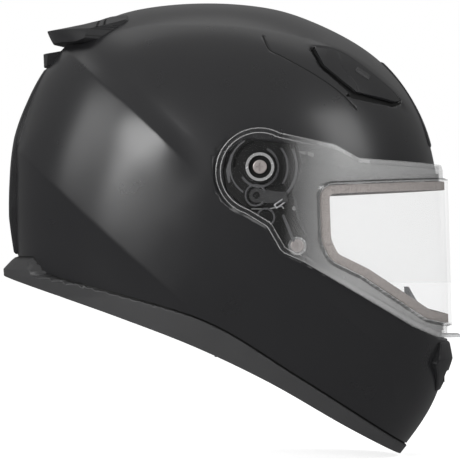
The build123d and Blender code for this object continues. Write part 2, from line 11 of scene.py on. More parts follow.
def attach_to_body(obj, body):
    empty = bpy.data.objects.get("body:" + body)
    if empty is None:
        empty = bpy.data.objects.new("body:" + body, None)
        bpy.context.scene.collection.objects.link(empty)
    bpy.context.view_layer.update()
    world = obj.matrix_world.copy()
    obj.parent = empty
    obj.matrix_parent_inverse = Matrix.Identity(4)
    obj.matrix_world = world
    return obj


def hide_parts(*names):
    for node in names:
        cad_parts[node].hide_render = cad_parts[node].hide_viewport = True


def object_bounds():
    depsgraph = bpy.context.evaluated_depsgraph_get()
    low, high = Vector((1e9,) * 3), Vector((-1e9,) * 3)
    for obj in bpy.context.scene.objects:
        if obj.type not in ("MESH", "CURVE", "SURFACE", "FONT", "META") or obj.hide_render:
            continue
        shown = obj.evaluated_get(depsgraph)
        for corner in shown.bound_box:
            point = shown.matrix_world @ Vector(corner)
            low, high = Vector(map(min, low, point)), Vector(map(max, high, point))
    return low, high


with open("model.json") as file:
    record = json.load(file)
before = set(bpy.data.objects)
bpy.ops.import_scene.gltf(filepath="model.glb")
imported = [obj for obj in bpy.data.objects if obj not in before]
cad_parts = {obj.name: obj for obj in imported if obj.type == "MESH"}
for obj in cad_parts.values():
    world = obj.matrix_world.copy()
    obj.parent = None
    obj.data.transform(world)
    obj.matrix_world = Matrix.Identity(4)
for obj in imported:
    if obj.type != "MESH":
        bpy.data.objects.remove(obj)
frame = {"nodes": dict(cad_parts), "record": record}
cad_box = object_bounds()
nodes = frame["nodes"]
MM = 0.001
scene = bpy.context.scene

# ---- the helmet's surface, with the CAD's dimensions (millimetres) --------------------------
# height, x of the rear, x of the front, half width, x of the widest place
STATIONS = np.array([
    (176.4, -5, -5, 0, -5),
    (173.2, -47, 36, 36, -5),
    (165, -77, 65.5, 60, -5),
    (150, -101, 97, 81, -5),
    (130, -120, 123.5, 98, -4),
    (105, -133, 142, 111, -3),
    (78, -141, 153.5, 119, -1),
    (45, -144, 160, 122.5, 2),
    (5, -142.5, 164, 121.5, 6),
    (-40, -136, 167, 116, 12),
    (-80, -124, 165.5, 108, 20),
    (-115, -105, 154, 98, 25),
    (-150, -78, 129, 85, 25),
])
FRONT_FULLNESS, REAR_FULLNESS = 2.15, 2.2
LAST = len(STATIONS) - 1
SHELL_WALL = 4.0
PIVOT = (31.3, 57.2)
VISOR_FRONT, VISOR_RAKE, VISOR_HALF = 163.5, 0.03, 122.7
VISOR_BOW_START, VISOR_FULLNESS, VISOR_WALL = 12.0, 2.15, 2.5
WINDOW_PROUD, PANE_WALL = 3.5, 1.2
RECESS_GAP, RECESS_INSET = 1.2, 4.0
PLATE_INSET, PLATE_WALL = 4.6, 4.4
POCKET_INSET = PLATE_INSET + PLATE_WALL + 0.3
PLATE_GAP, HUB_RADIUS = 0.6, 11.05


def spline_moments(values, flat_start):
    count = len(values)
    matrix = np.eye(count)
    right = np.zeros(count)
    for i in range(1, count - 1):
        matrix[i, i - 1:i + 2] = 1, 4, 1
        right[i] = 6 * (values[i + 1] - 2 * values[i] + values[i - 1])
    if flat_start:
        matrix[0, :2] = 2, 1
        right[0] = 6 * (values[1] - values[0])
    return np.linalg.solve(matrix, right)


MOMENTS = [spline_moments(STATIONS[:, k], k == 0) for k in range(5)]


def station(k, s):
    """Column k of STATIONS as a smooth curve of s, which counts stations down from the crown."""
    i = np.clip(np.floor(s).astype(int), 0, LAST - 1)
    t = s - i
    y, m = STATIONS[:, k], MOMENTS[k]
    bend = ((1 - t) ** 3 * m[i] + t**3 * m[i + 1]) / 6
    return bend + (y[i] - m[i] / 6) * (1 - t) + (y[i + 1] - m[i + 1] / 6) * t


def signed_power(value, power):
    return np.copysign(np.abs(value) ** power, value)


def skin_point(uv):
    """Point of the outer surface; uv is (s, a), a the angle from the front round to the rear."""
    s, a = uv[:, 0], uv[:, 1]
    rear, front, half, middle = [station(k, s) for k in (1, 2, 3, 4)]
    along, across = np.cos(a), np.sin(a)
    ahead = along > 0
    power = np.where(ahead, 2 / FRONT_FULLNESS, 2 / REAR_FULLNESS)
    reach = np.where(ahead, front - middle, middle - rear)
    x = middle + reach * signed_power(along, power)
    y = half * signed_power(across, power)
    return np.stack([x, y, station(0, s)], 1)


def slopes(function, uv, step=0.003):
    """The two tangents of a surface function of (s, a)."""
    du, dv = np.array([step, 0]), np.array([0, step])
    return function(uv + du) - function(uv - du), function(uv + dv) - function(uv - dv)


def unit(vectors):
    length = np.linalg.norm(vectors, axis=1, keepdims=True)
    return vectors / np.maximum(length, 1e-12)


def normals_of(function, uv, step=0.003):
    down, round_ = slopes(function, uv, step)
    normal = unit(np.cross(down, round_))
    normal[uv[:, 0] == 0] = (0, 0, 1)
    return normal


def skin_normal(uv):
    return normals_of(skin_point, uv)


def visor_depth(p):
    """Distance of points outside the visor's outer face (negative inside it)."""
    x, y, z = p[:, 0], np.abs(p[:, 1]), p[:, 2]
    reach = VISOR_FRONT + (PIVOT[1] - z) * VISOR_RAKE - VISOR_BOW_START
    n = VISOR_FULLNESS
    u = np.maximum(x - VISOR_BOW_START, 0) / reach
    w = y / VISOR_HALF
    value = np.maximum((u**n + w**n), 1e-9) ** (1 / n)
    slope_u = (u / value) ** (n - 1) / reach
    slope_w = (w / value) ** (n - 1) / VISOR_HALF
    return (value - 1) / np.maximum(np.hypot(slope_u, slope_w), 1e-9)


# ---- side-view outlines ----------------------------------------------------------------------
def rounded(points, radius, arc_steps=6):
    """Closed outline with its corners rounded; radius is one number or one for each corner."""
    points = [np.array(p, float) for p in points]
    radii = [radius] * len(points) if np.isscalar(radius) else radius
    result = []
    for i, corner in enumerate(points):
        before, after = points[i - 1], points[(i + 1) % len(points)]
        a, b = before - corner, after - corner
        la, lb = np.linalg.norm(a), np.linalg.norm(b)
        a, b = a / la, b / lb
        half = math.acos(np.clip(a @ b, -1, 1)) / 2
        r = min(radii[i], 0.45 * min(la, lb) * math.tan(half))
        if r < 0.01 or half > 1.55:
            result.append(corner)
            continue
        start, end = corner + a * r / math.tan(half), corner + b * r / math.tan(half)
        middle = corner + unit((a + b)[None])[0] * r / math.sin(half)
        first, last = start - middle, end - middle
        turn = math.atan2(first[0] * last[1] - first[1] * last[0], first @ last)
        for k in range(arc_steps + 1):
            t = turn * k / arc_steps
            c, s = math.cos(t), math.sin(t)
            result.append(middle + np.array([c * first[0] - s * first[1], s * first[0] + c * first[1]]))
    return np.array(result)


def outline_distance(points, outline, far=30.0):
    """Signed distance in the plane, negative inside a closed outline."""
    low, high = outline.min(0) - far, outline.max(0) + far
    near = np.all((points > low) & (points < high), 1)
    result = np.full(len(points), far)
    p = points[near]
    best = np.full(len(p), 1e9)
    inside = np.zeros(len(p), bool)
    for a, b in zip(outline, np.roll(outline, -1, 0)):
        edge = b - a
        t = np.clip(((p - a) @ edge) / max(edge @ edge, 1e-12), 0, 1)
        best = np.minimum(best, np.hypot(*(p - a - t[:, None] * edge).T))
        crosses = (a[1] > p[:, 1]) != (b[1] > p[:, 1])
        with np.errstate(divide="ignore", invalid="ignore"):
            at = a[0] + (p[:, 1] - a[1]) / (b[1] - a[1]) * (b[0] - a[0])
        inside ^= crosses & (p[:, 0] < at)
    result[near] = np.where(inside, -best, best)
    return result


def line_distance(points, line):
    """Signed distance from an open line, positive on its left, and the share of its length."""
    best = np.full(len(points), 1e9)
    side = np.ones(len(points))
    share = np.zeros(len(points))
    lengths = np.hypot(*np.diff(line, axis=0).T)
    starts = np.concatenate([[0], np.cumsum(lengths)])
    for k, (a, b) in enumerate(zip(line[:-1], line[1:])):
        edge = b - a
        t = ((points - a) @ edge) / (edge @ edge)
        low = -9 if k == 0 else 0
        high = 9 if k == len(line) - 2 else 1
        c = np.clip(t, low, high)
        d = points - a - c[:, None] * edge
        distance = np.hypot(*d.T)
        closer = distance < best - 1e-9
        best[closer] = distance[closer]
        cross = edge[0] * d[:, 1] - edge[1] * d[:, 0]
        side[closer] = np.sign(cross[closer] + 1e-12)
        share[closer] = (starts[k] + c[closer] * lengths[k]) / starts[-1]
    return best * side, share


def smooth(low, high, value):
    t = np.clip((value - low) / (high - low), 0, 1)
    return t * t * (3 - 2 * t)


def curve_through(points, steps=8):
    """Smooth open line through given points."""
    points = np.array(points, float)
    chord = np.concatenate([[0], np.cumsum(np.hypot(*np.diff(points, axis=0).T))])
    slopes_ = np.gradient(points, chord, axis=0)
    result = []
    for i in range(len(points) - 1):
        length = chord[i + 1] - chord[i]
        for k in range(steps):
            t = k / steps
            h = (2 * t**3 - 3 * t**2 + 1, t**3 - 2 * t**2 + t, -2 * t**3 + 3 * t**2, t**3 - t**2)
            result.append(h[0] * points[i] + h[1] * length * slopes_[i]
                          + h[2] * points[i + 1] + h[3] * length * slopes_[i + 1])
    result.append(points[-1])
    return np.array(result)


def arc(centre, radius, start, sweep, steps):
    return [(centre[0] + radius * math.cos(math.radians(start + sweep * k / steps)),
             centre[1] + radius * math.sin(math.radians(start + sweep * k / steps)))
            for k in range(steps + 1)]


rear_end = arc((31.2, 53.8), 30.5, 62, 190, 36)
front_part = rounded(
    [rear_end[-1], (36.5, 16), (46.5, -1.5), (62, -8.3), (141, -54), (160, -62.3), (190, -64),
     (190, 58.7), (101, 63.6), (84, 72.9), rear_end[0]],
    [0, 3.5, 3.5, 3.5, 3.5, 3.5, 0, 0, 3.5, 3.5, 0],
)
VISOR_LINE = np.array(list(front_part) + rear_end[1:-1])
WINDOW_LINE = rounded(
    [(190, 51.8), (70.5, 46.5), (72, 5), (79, -9), (102, -20.2), (148, -50.5), (190, -61)],
    [0, 11, 24, 14, 30, 14, 0], arc_steps=10,
)
PLATE_LINE = rounded(
    [(22, 76), (56, 72.5), (59, 60), (53.5, 40), (57, 22), (63.8, 9), (64.2, 0), (58.5, -4.3),
     (51.5, -1.5), (46, 7), (38.5, 20), (22, 29), (9, 40), (6.5, 55), (10, 68)], 1.5,
)
SEAM = curve_through([(-117.2, -17.1), (-60, -31.8), (-9, -47.3), (60, -88.5), (137, -138.7),
                      (180, -166)])
RIM = curve_through([(-180, -9.5), (-143, -21.6), (-65, -47.5), (-14, -67), (38, -92),
                     (90, -122.5), (180, -172)])
BELOW_SEAM = np.array([(-180, -260), (-180, -4.2), (-127.4, -4.9)] + list(SEAM) + [(180, -260)])
BELOW_RIM = np.array(list(RIM) + [(180, -260), (-180, -260)])


def side(p):
    """Side-view coordinates of points."""
    return p[:, [0, 2]]


def ahead(p):
    """Front-view coordinates of points."""
    return p[:, [1, 2]]


def within(outline, far=30.0):
    """Field of a side-view outline: negative inside it."""
    return lambda p: outline_distance(side(p), outline, far)


def off_line(line):
    """Field of a side-view line: positive on its left."""
    return lambda p: line_distance(side(p), line)[0]


def any_of(fields):
    """Field of several fields together."""
    return lambda p: np.min([field(p) for field in fields], 0)


def front_only(outline, sign=1):
    """Field of a front-view outline on the front half alone, or on the rear half with sign -1."""
    return lambda p: np.where(sign * p[:, 0] > 30, outline_distance(ahead(p), outline), 30.0)


visor_field, window_field = within(VISOR_LINE), within(WINDOW_LINE)


def plate_field(p):
    return outline_distance(side(p), PLATE_LINE) - PLATE_GAP


def seam_field(p):
    return -outline_distance(side(p), BELOW_SEAM, far=60.0)


# ---- surface meshes --------------------------------------------------------------------------
# share of an edge within which its corner moves onto a cut
SNAP = 0.2


class Surface:
    """Polygons whose corners are places (s, a) of a surface function; y >= 0 half unless whole."""

    def __init__(self, point, rows, columns):
        self.point = point
        grid = np.stack(np.meshgrid(rows, columns, indexing="ij"), -1)
        self.uv = grid.reshape(-1, 2)
        count = len(columns)
        self.faces = []
        for i in range(len(rows) - 1):
            for j in range(count - 1):
                a = i * count + j
                self.faces.append((a, a + count, a + count + 1, a + 1))
        self.locked = np.zeros(len(self.uv), bool)

    def cap(self):
        """Close the crown with one vertex."""
        count = int(np.sum(self.uv[:, 0] == self.uv[0, 0]))
        pole = len(self.uv)
        self.uv = np.vstack([self.uv, [(0, math.pi / 2)]])
        self.locked = np.append(self.locked, True)
        self.faces += [(pole, j, j + 1) for j in range(count - 1)]

    def snap(self, value, faces):
        """Move corners close to the line value = 0 onto it; give each corner's side of the line."""
        positive = (value > 0).tolist()
        edges = set()
        for face in faces:
            for i, j in zip(face, face[1:] + face[:1]):
                if positive[i] != positive[j]:
                    edges.add((min(i, j), max(i, j)))
        best = {}
        for i, j in edges:
            t = value[i] / (value[i] - value[j])
            for corner, other, share in ((i, j, t), (j, i, 1 - t)):
                if self.locked[corner] or share >= best.get(corner, (SNAP,))[0]:
                    continue
                if not self.border(corner) or self.same_border(corner, other):
                    best[corner] = (share, other)
        moved = {corner: self.uv[corner] + (self.uv[other] - self.uv[corner]) * share
                 for corner, (share, other) in best.items()}
        state = np.where(value > 0, 1, -1)
        state[np.abs(value) < 1e-7] = 0
        for corner, place in moved.items():
            self.uv[corner] = place
            state[corner] = 0
        return state.tolist()

    def cut(self, field, keep=0, near=None):
        """Split along field = 0 and keep one side of it: -1 inside, 1 outside, 0 both.

        With near, only polygons whose corners all pass that test are split.
        """
        place = self.point(self.uv)
        value = field(place)
        close = near(place).tolist() if near else [True] * len(place)
        chosen, untouched = [], []
        for face in self.faces:
            (chosen if all(close[i] for i in face) else untouched).append(face)
        state = self.snap(value, chosen)
        added, new_uv, result = {}, [], []

        def crossing(i, j):
            key = (min(i, j), max(i, j))
            if key not in added:
                t = abs(value[i]) / (abs(value[i]) + abs(value[j]))
                added[key] = len(self.uv) + len(new_uv)
                new_uv.append(self.uv[i] + (self.uv[j] - self.uv[i]) * t)
            return added[key]

        for face in chosen:
            states = [state[i] for i in face]
            if max(states) <= 0 or min(states) >= 0:
                which = -1 if max(states) <= 0 else 1
                if keep in (0, which):
                    result.append(face)
                continue
            parts = {1: [], -1: []}
            for i, j in zip(face, face[1:] + face[:1]):
                for which in parts:
                    if state[i] * which >= 0:
                        parts[which].append(i)
                if state[i] * state[j] < 0:
                    new = crossing(i, j)
                    parts[1].append(new)
                    parts[-1].append(new)
            for which, part in parts.items():
                if len(part) >= 3 and keep in (0, which):
                    result.append(tuple(part))
        for face in untouched:
            corners = []
            for i, j in zip(face, face[1:] + face[:1]):
                corners.append(i)
                if (min(i, j), max(i, j)) in added:
                    corners.append(crossing(i, j))
            result.append(tuple(corners))
        self.faces = result
        self.locked |= np.array(state) == 0
        if new_uv:
            self.uv = np.vstack([self.uv, new_uv])
            self.locked = np.append(self.locked, np.ones(len(new_uv), bool))
        return self

    def cut_at(self, field, *levels):
        """Split along each level of a field and keep both sides."""
        for level in levels:
            self.cut(lambda p: field(p) - level)

    def border(self, i):
        return self.uv[i, 1] < 1e-9 or self.uv[i, 1] > math.pi - 1e-9

    def same_border(self, i, j):
        return self.border(j) and abs(self.uv[i, 1] - self.uv[j, 1]) < 1e-9

    def tidy(self):
        """Drop unused corners."""
        used = np.zeros(len(self.uv), bool)
        for face in self.faces:
            used[list(face)] = True
        index = np.cumsum(used) - 1
        self.faces = [tuple(int(index[i]) for i in face) for face in self.faces]
        self.uv = self.uv[used]
        return self


def mirrored(points, normals, faces, tolerance=1e-4):
    """Both halves of a y >= 0 half, welded on the mid-plane."""
    middle = np.abs(points[:, 1]) < tolerance
    points[middle, 1] = 0
    normals[middle, 1] = 0
    index = np.arange(len(points))
    index[~middle] = len(points) + np.arange(np.sum(~middle))
    flip = np.array([1, -1, 1])
    all_points = np.vstack([points, points[~middle] * flip])
    all_normals = np.vstack([normals, normals[~middle] * flip])
    index = index.tolist()
    other = [tuple(index[i] for i in reversed(face)) for face in faces]
    return all_points, all_normals, list(faces) + other


def open_edges(faces):
    """Directed edges that only one face has."""
    seen = {}
    for face in faces:
        seen.update(dict.fromkeys(zip(face, face[1:] + face[:1])))
    return [(i, j) for (i, j) in seen if (j, i) not in seen]


def make_object(name, points, faces, normals=None, material=None):
    mesh = bpy.data.meshes.new(name)
    mesh.from_pydata((np.asarray(points) * MM).tolist(), [], faces)
    mesh.update()
    mesh.polygons.foreach_set("use_smooth", np.ones(len(mesh.polygons), bool))
    if normals is not None:
        mesh.normals_split_custom_set_from_vertices(np.asarray(normals).tolist())
    obj = bpy.data.objects.new(name, mesh)
    scene.collection.objects.link(obj)
    if material:
        mesh.materials.append(material)
    return obj


def sheet(surface, outer, inner, whole):
    """Points, faces and normals of a closed sheet between two surface functions.

    Its square edges have corners of their own, and are the faces from the last number on.
    """
    surface.tidy()
    layers = []
    for function, sign in ((outer, 1), (inner, -1)):
        points = function(surface.uv)
        normals = normals_of(function, surface.uv) * sign
        faces = [face[::sign] for face in surface.faces]
        layers.append((points, normals, faces) if whole else mirrored(points, normals, faces))
    (front, front_normals, front_faces), (back, back_normals, back_faces) = layers
    count = len(front)
    faces = list(front_faces) + [tuple(i + count for i in face) for face in back_faces]
    edges = open_edges(front_faces)
    ring = sorted({i for edge in edges for i in edge})
    place = {i: k for k, i in enumerate(ring)}
    rim, back_rim = front[ring], back[ring]
    wall_normals = np.zeros_like(rim)
    walls = len(faces)
    for i, j in edges:
        a, b = place[i], place[j]
        outward = np.cross(rim[b] - rim[a], rim[a] - back_rim[a])
        wall_normals[a] += outward
        wall_normals[b] += outward
        a, b = a + 2 * count, b + 2 * count
        faces.append((b, a, a + len(ring), b + len(ring)))
    wall_normals = unit(wall_normals)
    points = np.vstack([front, back, rim, back_rim])
    normals = np.vstack([front_normals, back_normals, wall_normals, wall_normals])
    return points, faces, normals, walls


def sheet_object(name, surface, outer, inner, material, whole=False, edge_material=None):
    """A sheet as an object, mirrored to both halves unless it is whole."""
    points, faces, normals, walls = sheet(surface, outer, inner, whole)
    obj = make_object(name, points, faces, normals, material)
    if edge_material:
        obj.data.materials.append(edge_material)
        indices = [int(k >= walls) for k in range(len(faces))]
        obj.data.polygons.foreach_set("material_index", indices)
    return obj


def even_rows(start, end, spacing):
    """Values of s whose rows are spaced evenly down the rear and front of the surface."""
    s = np.linspace(start, end, 4000)
    columns = [(station(k, s), station(0, s)) for k in (1, 2, 3)]
    run = max(np.hypot(np.diff(x), np.diff(z)).sum() for x, z in columns)
    path = sum(np.hypot(np.diff(x), np.diff(z)) for x, z in columns)
    path = np.concatenate([[0], np.cumsum(path)])
    return np.interp(np.linspace(0, path[-1], int(run / spacing) + 1), path, s)


# ---- materials -------------------------------------------------------------------------------
class Nodes:
    """Short names for building a node tree."""

    def __init__(self, tree):
        self.tree = tree

    def node(self, kind, **values):
        node = self.tree.nodes.new(kind)
        for name, value in values.items():
            if name in node.inputs:
                node.inputs[name].default_value = value
            else:
                setattr(node, name, value)
        return node

    def link(self, start, end):
        self.tree.links.new(start, end)

    def ramp(self, value, low, high, black=0.3, white=0.7):
        """Map a value onto a colour or roughness range."""
        ramp = self.node("ShaderNodeValToRGB")
        ends = zip(ramp.color_ramp.elements, (low, high), (black, white))
        for element, colour, position in ends:
            element.position = position
            colour = (colour,) * 3 if np.isscalar(colour) else colour
            element.color = (*colour, 1)
        self.link(value, ramp.inputs["Fac"])
        return ramp.outputs["Color"]


class Shader(Nodes):
    """Short names for building a Principled material."""

    def __init__(self, name, colour, roughness, **sockets):
        self.material = bpy.data.materials.new(name)
        self.material.use_nodes = True
        super().__init__(self.material.node_tree)
        self.main = self.tree.nodes["Principled BSDF"]
        self.main.inputs["Base Color"].default_value = (*colour, 1)
        self.main.inputs["Roughness"].default_value = roughness
        for socket, value in sockets.items():
            self.main.inputs[socket.replace("_", " ")].default_value = value
        self.last_bump = None

    def place(self):
        return self.node("ShaderNodeTexCoord").outputs["Object"]

    def noise(self, scale, detail, stretch=(1, 1, 1)):
        scaled = self.node("ShaderNodeMapping")
        scaled.inputs["Scale"].default_value = stretch
        self.link(self.place(), scaled.inputs["Vector"])
        noise = self.node("ShaderNodeTexNoise", Scale=scale, Detail=detail)
        self.link(scaled.outputs["Vector"], noise.inputs["Vector"])
        return noise.outputs["Fac"]

    def waves(self, scale, distortion, direction):
        wave = self.node("ShaderNodeTexWave", Scale=scale, Distortion=distortion,
                         bands_direction=direction)
        self.link(self.place(), wave.inputs["Vector"])
        return wave.outputs["Fac"]

    def bump(self, height, strength, distance):
        """Add a bump on top of those before it."""
        bump = self.node("ShaderNodeBump", Strength=strength, Distance=distance)
        self.link(height, bump.inputs["Height"])
        if self.last_bump:
            self.link(self.last_bump, bump.inputs["Normal"])
        self.last_bump = bump.outputs["Normal"]
        self.link(self.last_bump, self.main.inputs["Normal"])

    def colours(self, socket):
        self.link(socket, self.main.inputs["Base Color"])

    def roughs(self, socket):
        self.link(socket, self.main.inputs["Roughness"])


def shell_paint():
    s = Shader("satin_black_paint", (0.011, 0.011, 0.012), 0.33, Coat_Weight=0.25, Coat_Roughness=0.22)
    s.roughs(s.ramp(s.noise(34, 4), 0.27, 0.32))
    s.bump(s.noise(900, 2), 0.012, 0.0004)
    return s.material


def moulded(name, colour, roughness, grain=0.12, shine=0.5):
    s = Shader(name, colour, roughness, Specular_IOR_Level=shine)
    s.roughs(s.ramp(s.noise(60, 4), roughness - 0.05, roughness + 0.07))
    s.bump(s.noise(1500, 3), grain, 0.0002)
    return s.material


def rubber(name, colour):
    s = Shader(name, colour, 0.62, Specular_IOR_Level=0.35)
    s.colours(s.ramp(s.noise(45, 4), colour, tuple(c * 1.5 for c in colour)))
    s.bump(s.noise(700, 4), 0.2, 0.0003)
    return s.material


def clear(name, colour, alpha, roughness=0.04, grazing_reflection=None):
    """Clear plastic; the last argument is its opacity in front, a painted reflection where the front is
    seen at a grazing angle, and where along x that starts and ends.
    """
    s = Shader(name, colour, roughness, Alpha=alpha, IOR=1.55, Specular_IOR_Level=0.8)
    s.roughs(s.ramp(s.noise(25, 3), roughness, roughness + 0.03))
    # painted reflection: opacity rises along x toward the front, where the surface is seen at a grazing
    # angle
    if grazing_reflection:
        split = s.node("ShaderNodeSeparateXYZ")
        s.link(s.place(), split.inputs[0])
        s.link(s.ramp(split.outputs["X"], alpha, *grazing_reflection), s.main.inputs["Alpha"])
    s.material.surface_render_method = "BLENDED"
    return s.material


def metal(name, colour, roughness, stretch=(1, 1, 1), metallic=1.0):
    s = Shader(name, colour, roughness, Metallic=metallic)
    s.roughs(s.ramp(s.noise(600, 3, stretch=stretch), roughness - 0.06, roughness + 0.1))
    s.bump(s.noise(900, 2, stretch=stretch), 0.08, 0.0001)
    return s.material


def foam_material(name, colour, beads=330.0):
    """Expanded foam: packed beads with fine seams between them."""
    s = Shader(name, colour, 0.8, Specular_IOR_Level=0.25)
    cells = s.node("ShaderNodeTexVoronoi", Scale=beads)
    s.link(s.place(), cells.inputs["Vector"])
    s.colours(s.ramp(cells.outputs["Distance"], tuple(c * 1.6 for c in colour), colour, 0.1, 0.8))
    s.bump(cells.outputs["Distance"], 0.5, 0.0006)
    return s.material


KNIT_SCALE = 111.465


def knit(name, colour, sheen_colour):
    """Brushed mesh lining: crossing waves for the knit, and a soft nap."""
    s = Shader(name, colour, 0.85, Specular_IOR_Level=0.2, Sheen_Weight=0.35, Sheen_Roughness=0.4)
    s.main.inputs["Sheen Tint"].default_value = (*sheen_colour, 1)
    total = None
    for direction in ("X", "Y", "Z"):
        wave = s.waves(KNIT_SCALE, 0.4, direction)
        if total is None:
            total = wave
            continue
        mix = s.node("ShaderNodeMath", operation="MULTIPLY")
        s.link(total, mix.inputs[0])
        s.link(wave, mix.inputs[1])
        total = mix.outputs[0]
    s.colours(s.ramp(s.noise(70, 5), colour, tuple(c * 1.7 for c in colour), 0.35, 0.75))
    s.bump(total, 0.6, 0.0005)
    s.bump(s.noise(1800, 3), 0.3, 0.0002)
    return s.material


def webbing_material():
    s = Shader("strap_webbing", (0.014, 0.014, 0.015), 0.7, Sheen_Weight=0.2)
    s.colours(s.ramp(s.noise(200, 3), (0.012, 0.012, 0.013), (0.03, 0.03, 0.032)))
    s.bump(s.waves(180, 0, "DIAGONAL"), 0.5, 0.0004)
    return s.material


PAINT = shell_paint()
GLOSS = moulded("vent_black_plastic", (0.012, 0.012, 0.013), 0.36, 0.06)
TRIM = moulded("trim_black_plastic", (0.03, 0.03, 0.031), 0.5, 0.25)
PLATE = moulded("base_plate_plastic", (0.005, 0.005, 0.005), 0.45, 0.15, 0.2)
RIB = moulded("plate_rib_plastic", (0.055, 0.055, 0.058), 0.38, 0.1)
TAB_GREY = moulded("plate_tab_plastic", (0.1, 0.1, 0.1), 0.42, 0.1)
PALE = moulded("latch_frame_plastic", (0.28, 0.28, 0.29), 0.4, 0.1)
GROOVE_SHADE = moulded("painted_groove_shade", (0.002, 0.002, 0.002), 0.7, 0.1)
# painted shade: near-black laid in slots, seams and grooves where their shadow falls
LEVER = moulded("lever_plastic", (0.022, 0.022, 0.023), 0.4, 0.15)
RUBBER = rubber("seal_rubber", (0.014, 0.014, 0.014))
GUARD = rubber("breath_guard_rubber", (0.16, 0.16, 0.165))
# the visor's front gets a painted grazing reflection as more opacity
CLEAR = clear("visor_polycarbonate", (0.6, 0.6, 0.6), 0.005, grazing_reflection=(0.3, 0.048, 0.09))
# painted highlight: more opaque clear for the light lines along the visor's bevel and outer edge
BEVEL_HIGHLIGHT = clear("visor_bevel_highlight", (0.6, 0.6, 0.6), 0.2, 0.15)
# the window's front edge gets a painted grazing reflection as more opacity
WINDOW = clear("visor_window", (0.6, 0.61, 0.62), 0.045, grazing_reflection=(0.11, 0.1645, 0.1665))
# painted shade: a dark, half-opaque line along the window's step
RIM_SHADE = clear("window_rim_shade", (0.12, 0.12, 0.12), 0.5, 0.15)
# painted edge glow: the visor's cut edges are paler and more opaque so they look lit
EDGE_GLOW = clear("visor_edge_glow", (0.62, 0.63, 0.64), 0.6, 0.15)
PANE = clear("inner_pane", (0.7, 0.71, 0.72), 0.03)
GASKET = foam_material("gasket_foam", (0.2, 0.18, 0.17), 900.0)
FOAM = foam_material("eps_foam", (0.035, 0.035, 0.037))
LINING = knit("lining_knit", (0.035, 0.035, 0.038), (0.5, 0.5, 0.52))
WEBBING = webbing_material()
CHROME = metal("pivot_ring_metal", (0.55, 0.55, 0.55), 0.2, metallic=0.7)
STEEL = metal("screw_steel", (0.42, 0.38, 0.37), 0.34, (1, 0.05, 1), metallic=0.7)
PLAIN_STEEL = metal("anchor_steel", (0.5, 0.5, 0.5), 0.4)
BRASS = metal("insert_brass", (0.68, 0.5, 0.26), 0.35)

# ---- shell -----------------------------------------------------------------------------------
UPPER_RIDGE = curve_through([(-112, 148), (-88, 124), (-60, 99), (-36, 76), (-10, 50)])
LOWER_RIDGE = curve_through([(-150, 82), (-120, 54), (-66, 4), (-28, -29), (8, -62)])
CHIN_RIDGE = curve_through([(62, -20), (92, -48), (117.6, -74.2), (124, -95), (129.2, -118)])
BAND_EDGE = curve_through([(-112, 134), (-70.5, 152.9), (-7, 156.7), (35, 152.9), (77.5, 143.4),
                           (115.6, 122.3), (140.9, 94.8), (150, 74)])
BROW_CREST = curve_through([(62, 145), (88, 137.6), (108, 124), (131, 104.5), (139, 96)])
BROW_HEIGHT, BROW_FALL, BROW_ENDS = 1.9, 24.0, (0.2, 0.75)
# line, height, width above and below, and the shares of its length where it fades
RIDGES = [
    (UPPER_RIDGE, 2.6, 15, 64, (0.12, 0.7)),
    (LOWER_RIDGE, 2.4, 46, 20, (0.1, 0.75)),
    (CHIN_RIDGE, 1.0, 14, 30, (0.3, 0.8)),
    (BAND_EDGE, 0.7, 12, 20, (0.12, 0.9)),
    (BROW_CREST, BROW_HEIGHT, 14, 3, BROW_ENDS),
]
RIDGE_SOFT = 0.8


def ridge(p, line, height, above, below, ends):
    """A crease: the skin rises to height along the line and falls away on both sides."""
    t, share = line_distance(side(p), line)
    far = np.sqrt(t * t + RIDGE_SOFT * RIDGE_SOFT) - RIDGE_SOFT
    width = np.where(t > 0, above, below)
    fall = np.clip(1 - far / width, 0, 1)
    return height * fall**2 * faded(share, ends)


def faded(share, ends):
    """1 along a line, and falling to 0 at its two ends."""
    return smooth(0, ends[0], share) * smooth(1, ends[1], share)


def creases(p):
    return sum(ridge(p, *values) for values in RIDGES)


BROW_SLOT = rounded(
    [(66.6, 140.8), (69.9, 141.6), (77.2, 129.8), (100.4, 110.8), (126.4, 104.6), (130.6, 105.4),
     (130.6, 102.2), (124.6, 100.6), (96.5, 105.6), (90.2, 107.6), (95.6, 108.6), (74.6, 126.8)], 0.8)
FAIRING_SEAM = curve_through([(33.8, 149), (38.4, 139.2), (46.8, 134.7), (72.5, 120.2), (85.4, 111.2),
                              (89.9, 107.4), (99.5, 97.4)])
BROW_REAR_LINE = np.array([(66, 146), (75.6, 128.4), (99, 108.6)], float)
BROW_LOWER_LINE = np.array([(86, 107.4), (126, 102.6), (136, 104.5)], float)
SLOT_DEPTH, SLOT_SOFT = 2.4, 0.3
SEAM_DEPTH, SEAM_HALF, SEAM_FLOOR = 0.5, 0.45, 0.08
RECESS_SOFT, PLATE_SOFT, LINING_GAP = 0.6, 0.5, 0.3
PORT_MARGIN = 1.5
CHIN_SLOT = rounded([(-22, -96), (22, -96), (22, -84), (-22, -84)], 3)
CROWN_START, SHELL_CELL, SHELL_COLUMNS = 0.03, 2.0, 201
brow_slot = within(BROW_SLOT)


def fairing_seam(p):
    distance, share = line_distance(side(p), FAIRING_SEAM)
    beyond = np.maximum(-share, share - 1) * 100
    return np.maximum(np.abs(distance), beyond) - SEAM_HALF


def recess(p, visor_edge, plate_edge):
    """How far the visor recess and the base plate pocket press a layer of the shell in.

    Each edge is the two distances from its outline between which the wall of the recess lies.
    """
    depth = visor_depth(p)
    shallow = smooth(*visor_edge, visor_field(p) - RECESS_GAP)
    deep = smooth(*plate_edge, plate_field(p))
    return np.maximum(shallow * np.maximum(depth + RECESS_INSET, 0),
                      deep * np.maximum(depth + POCKET_INSET, 0))


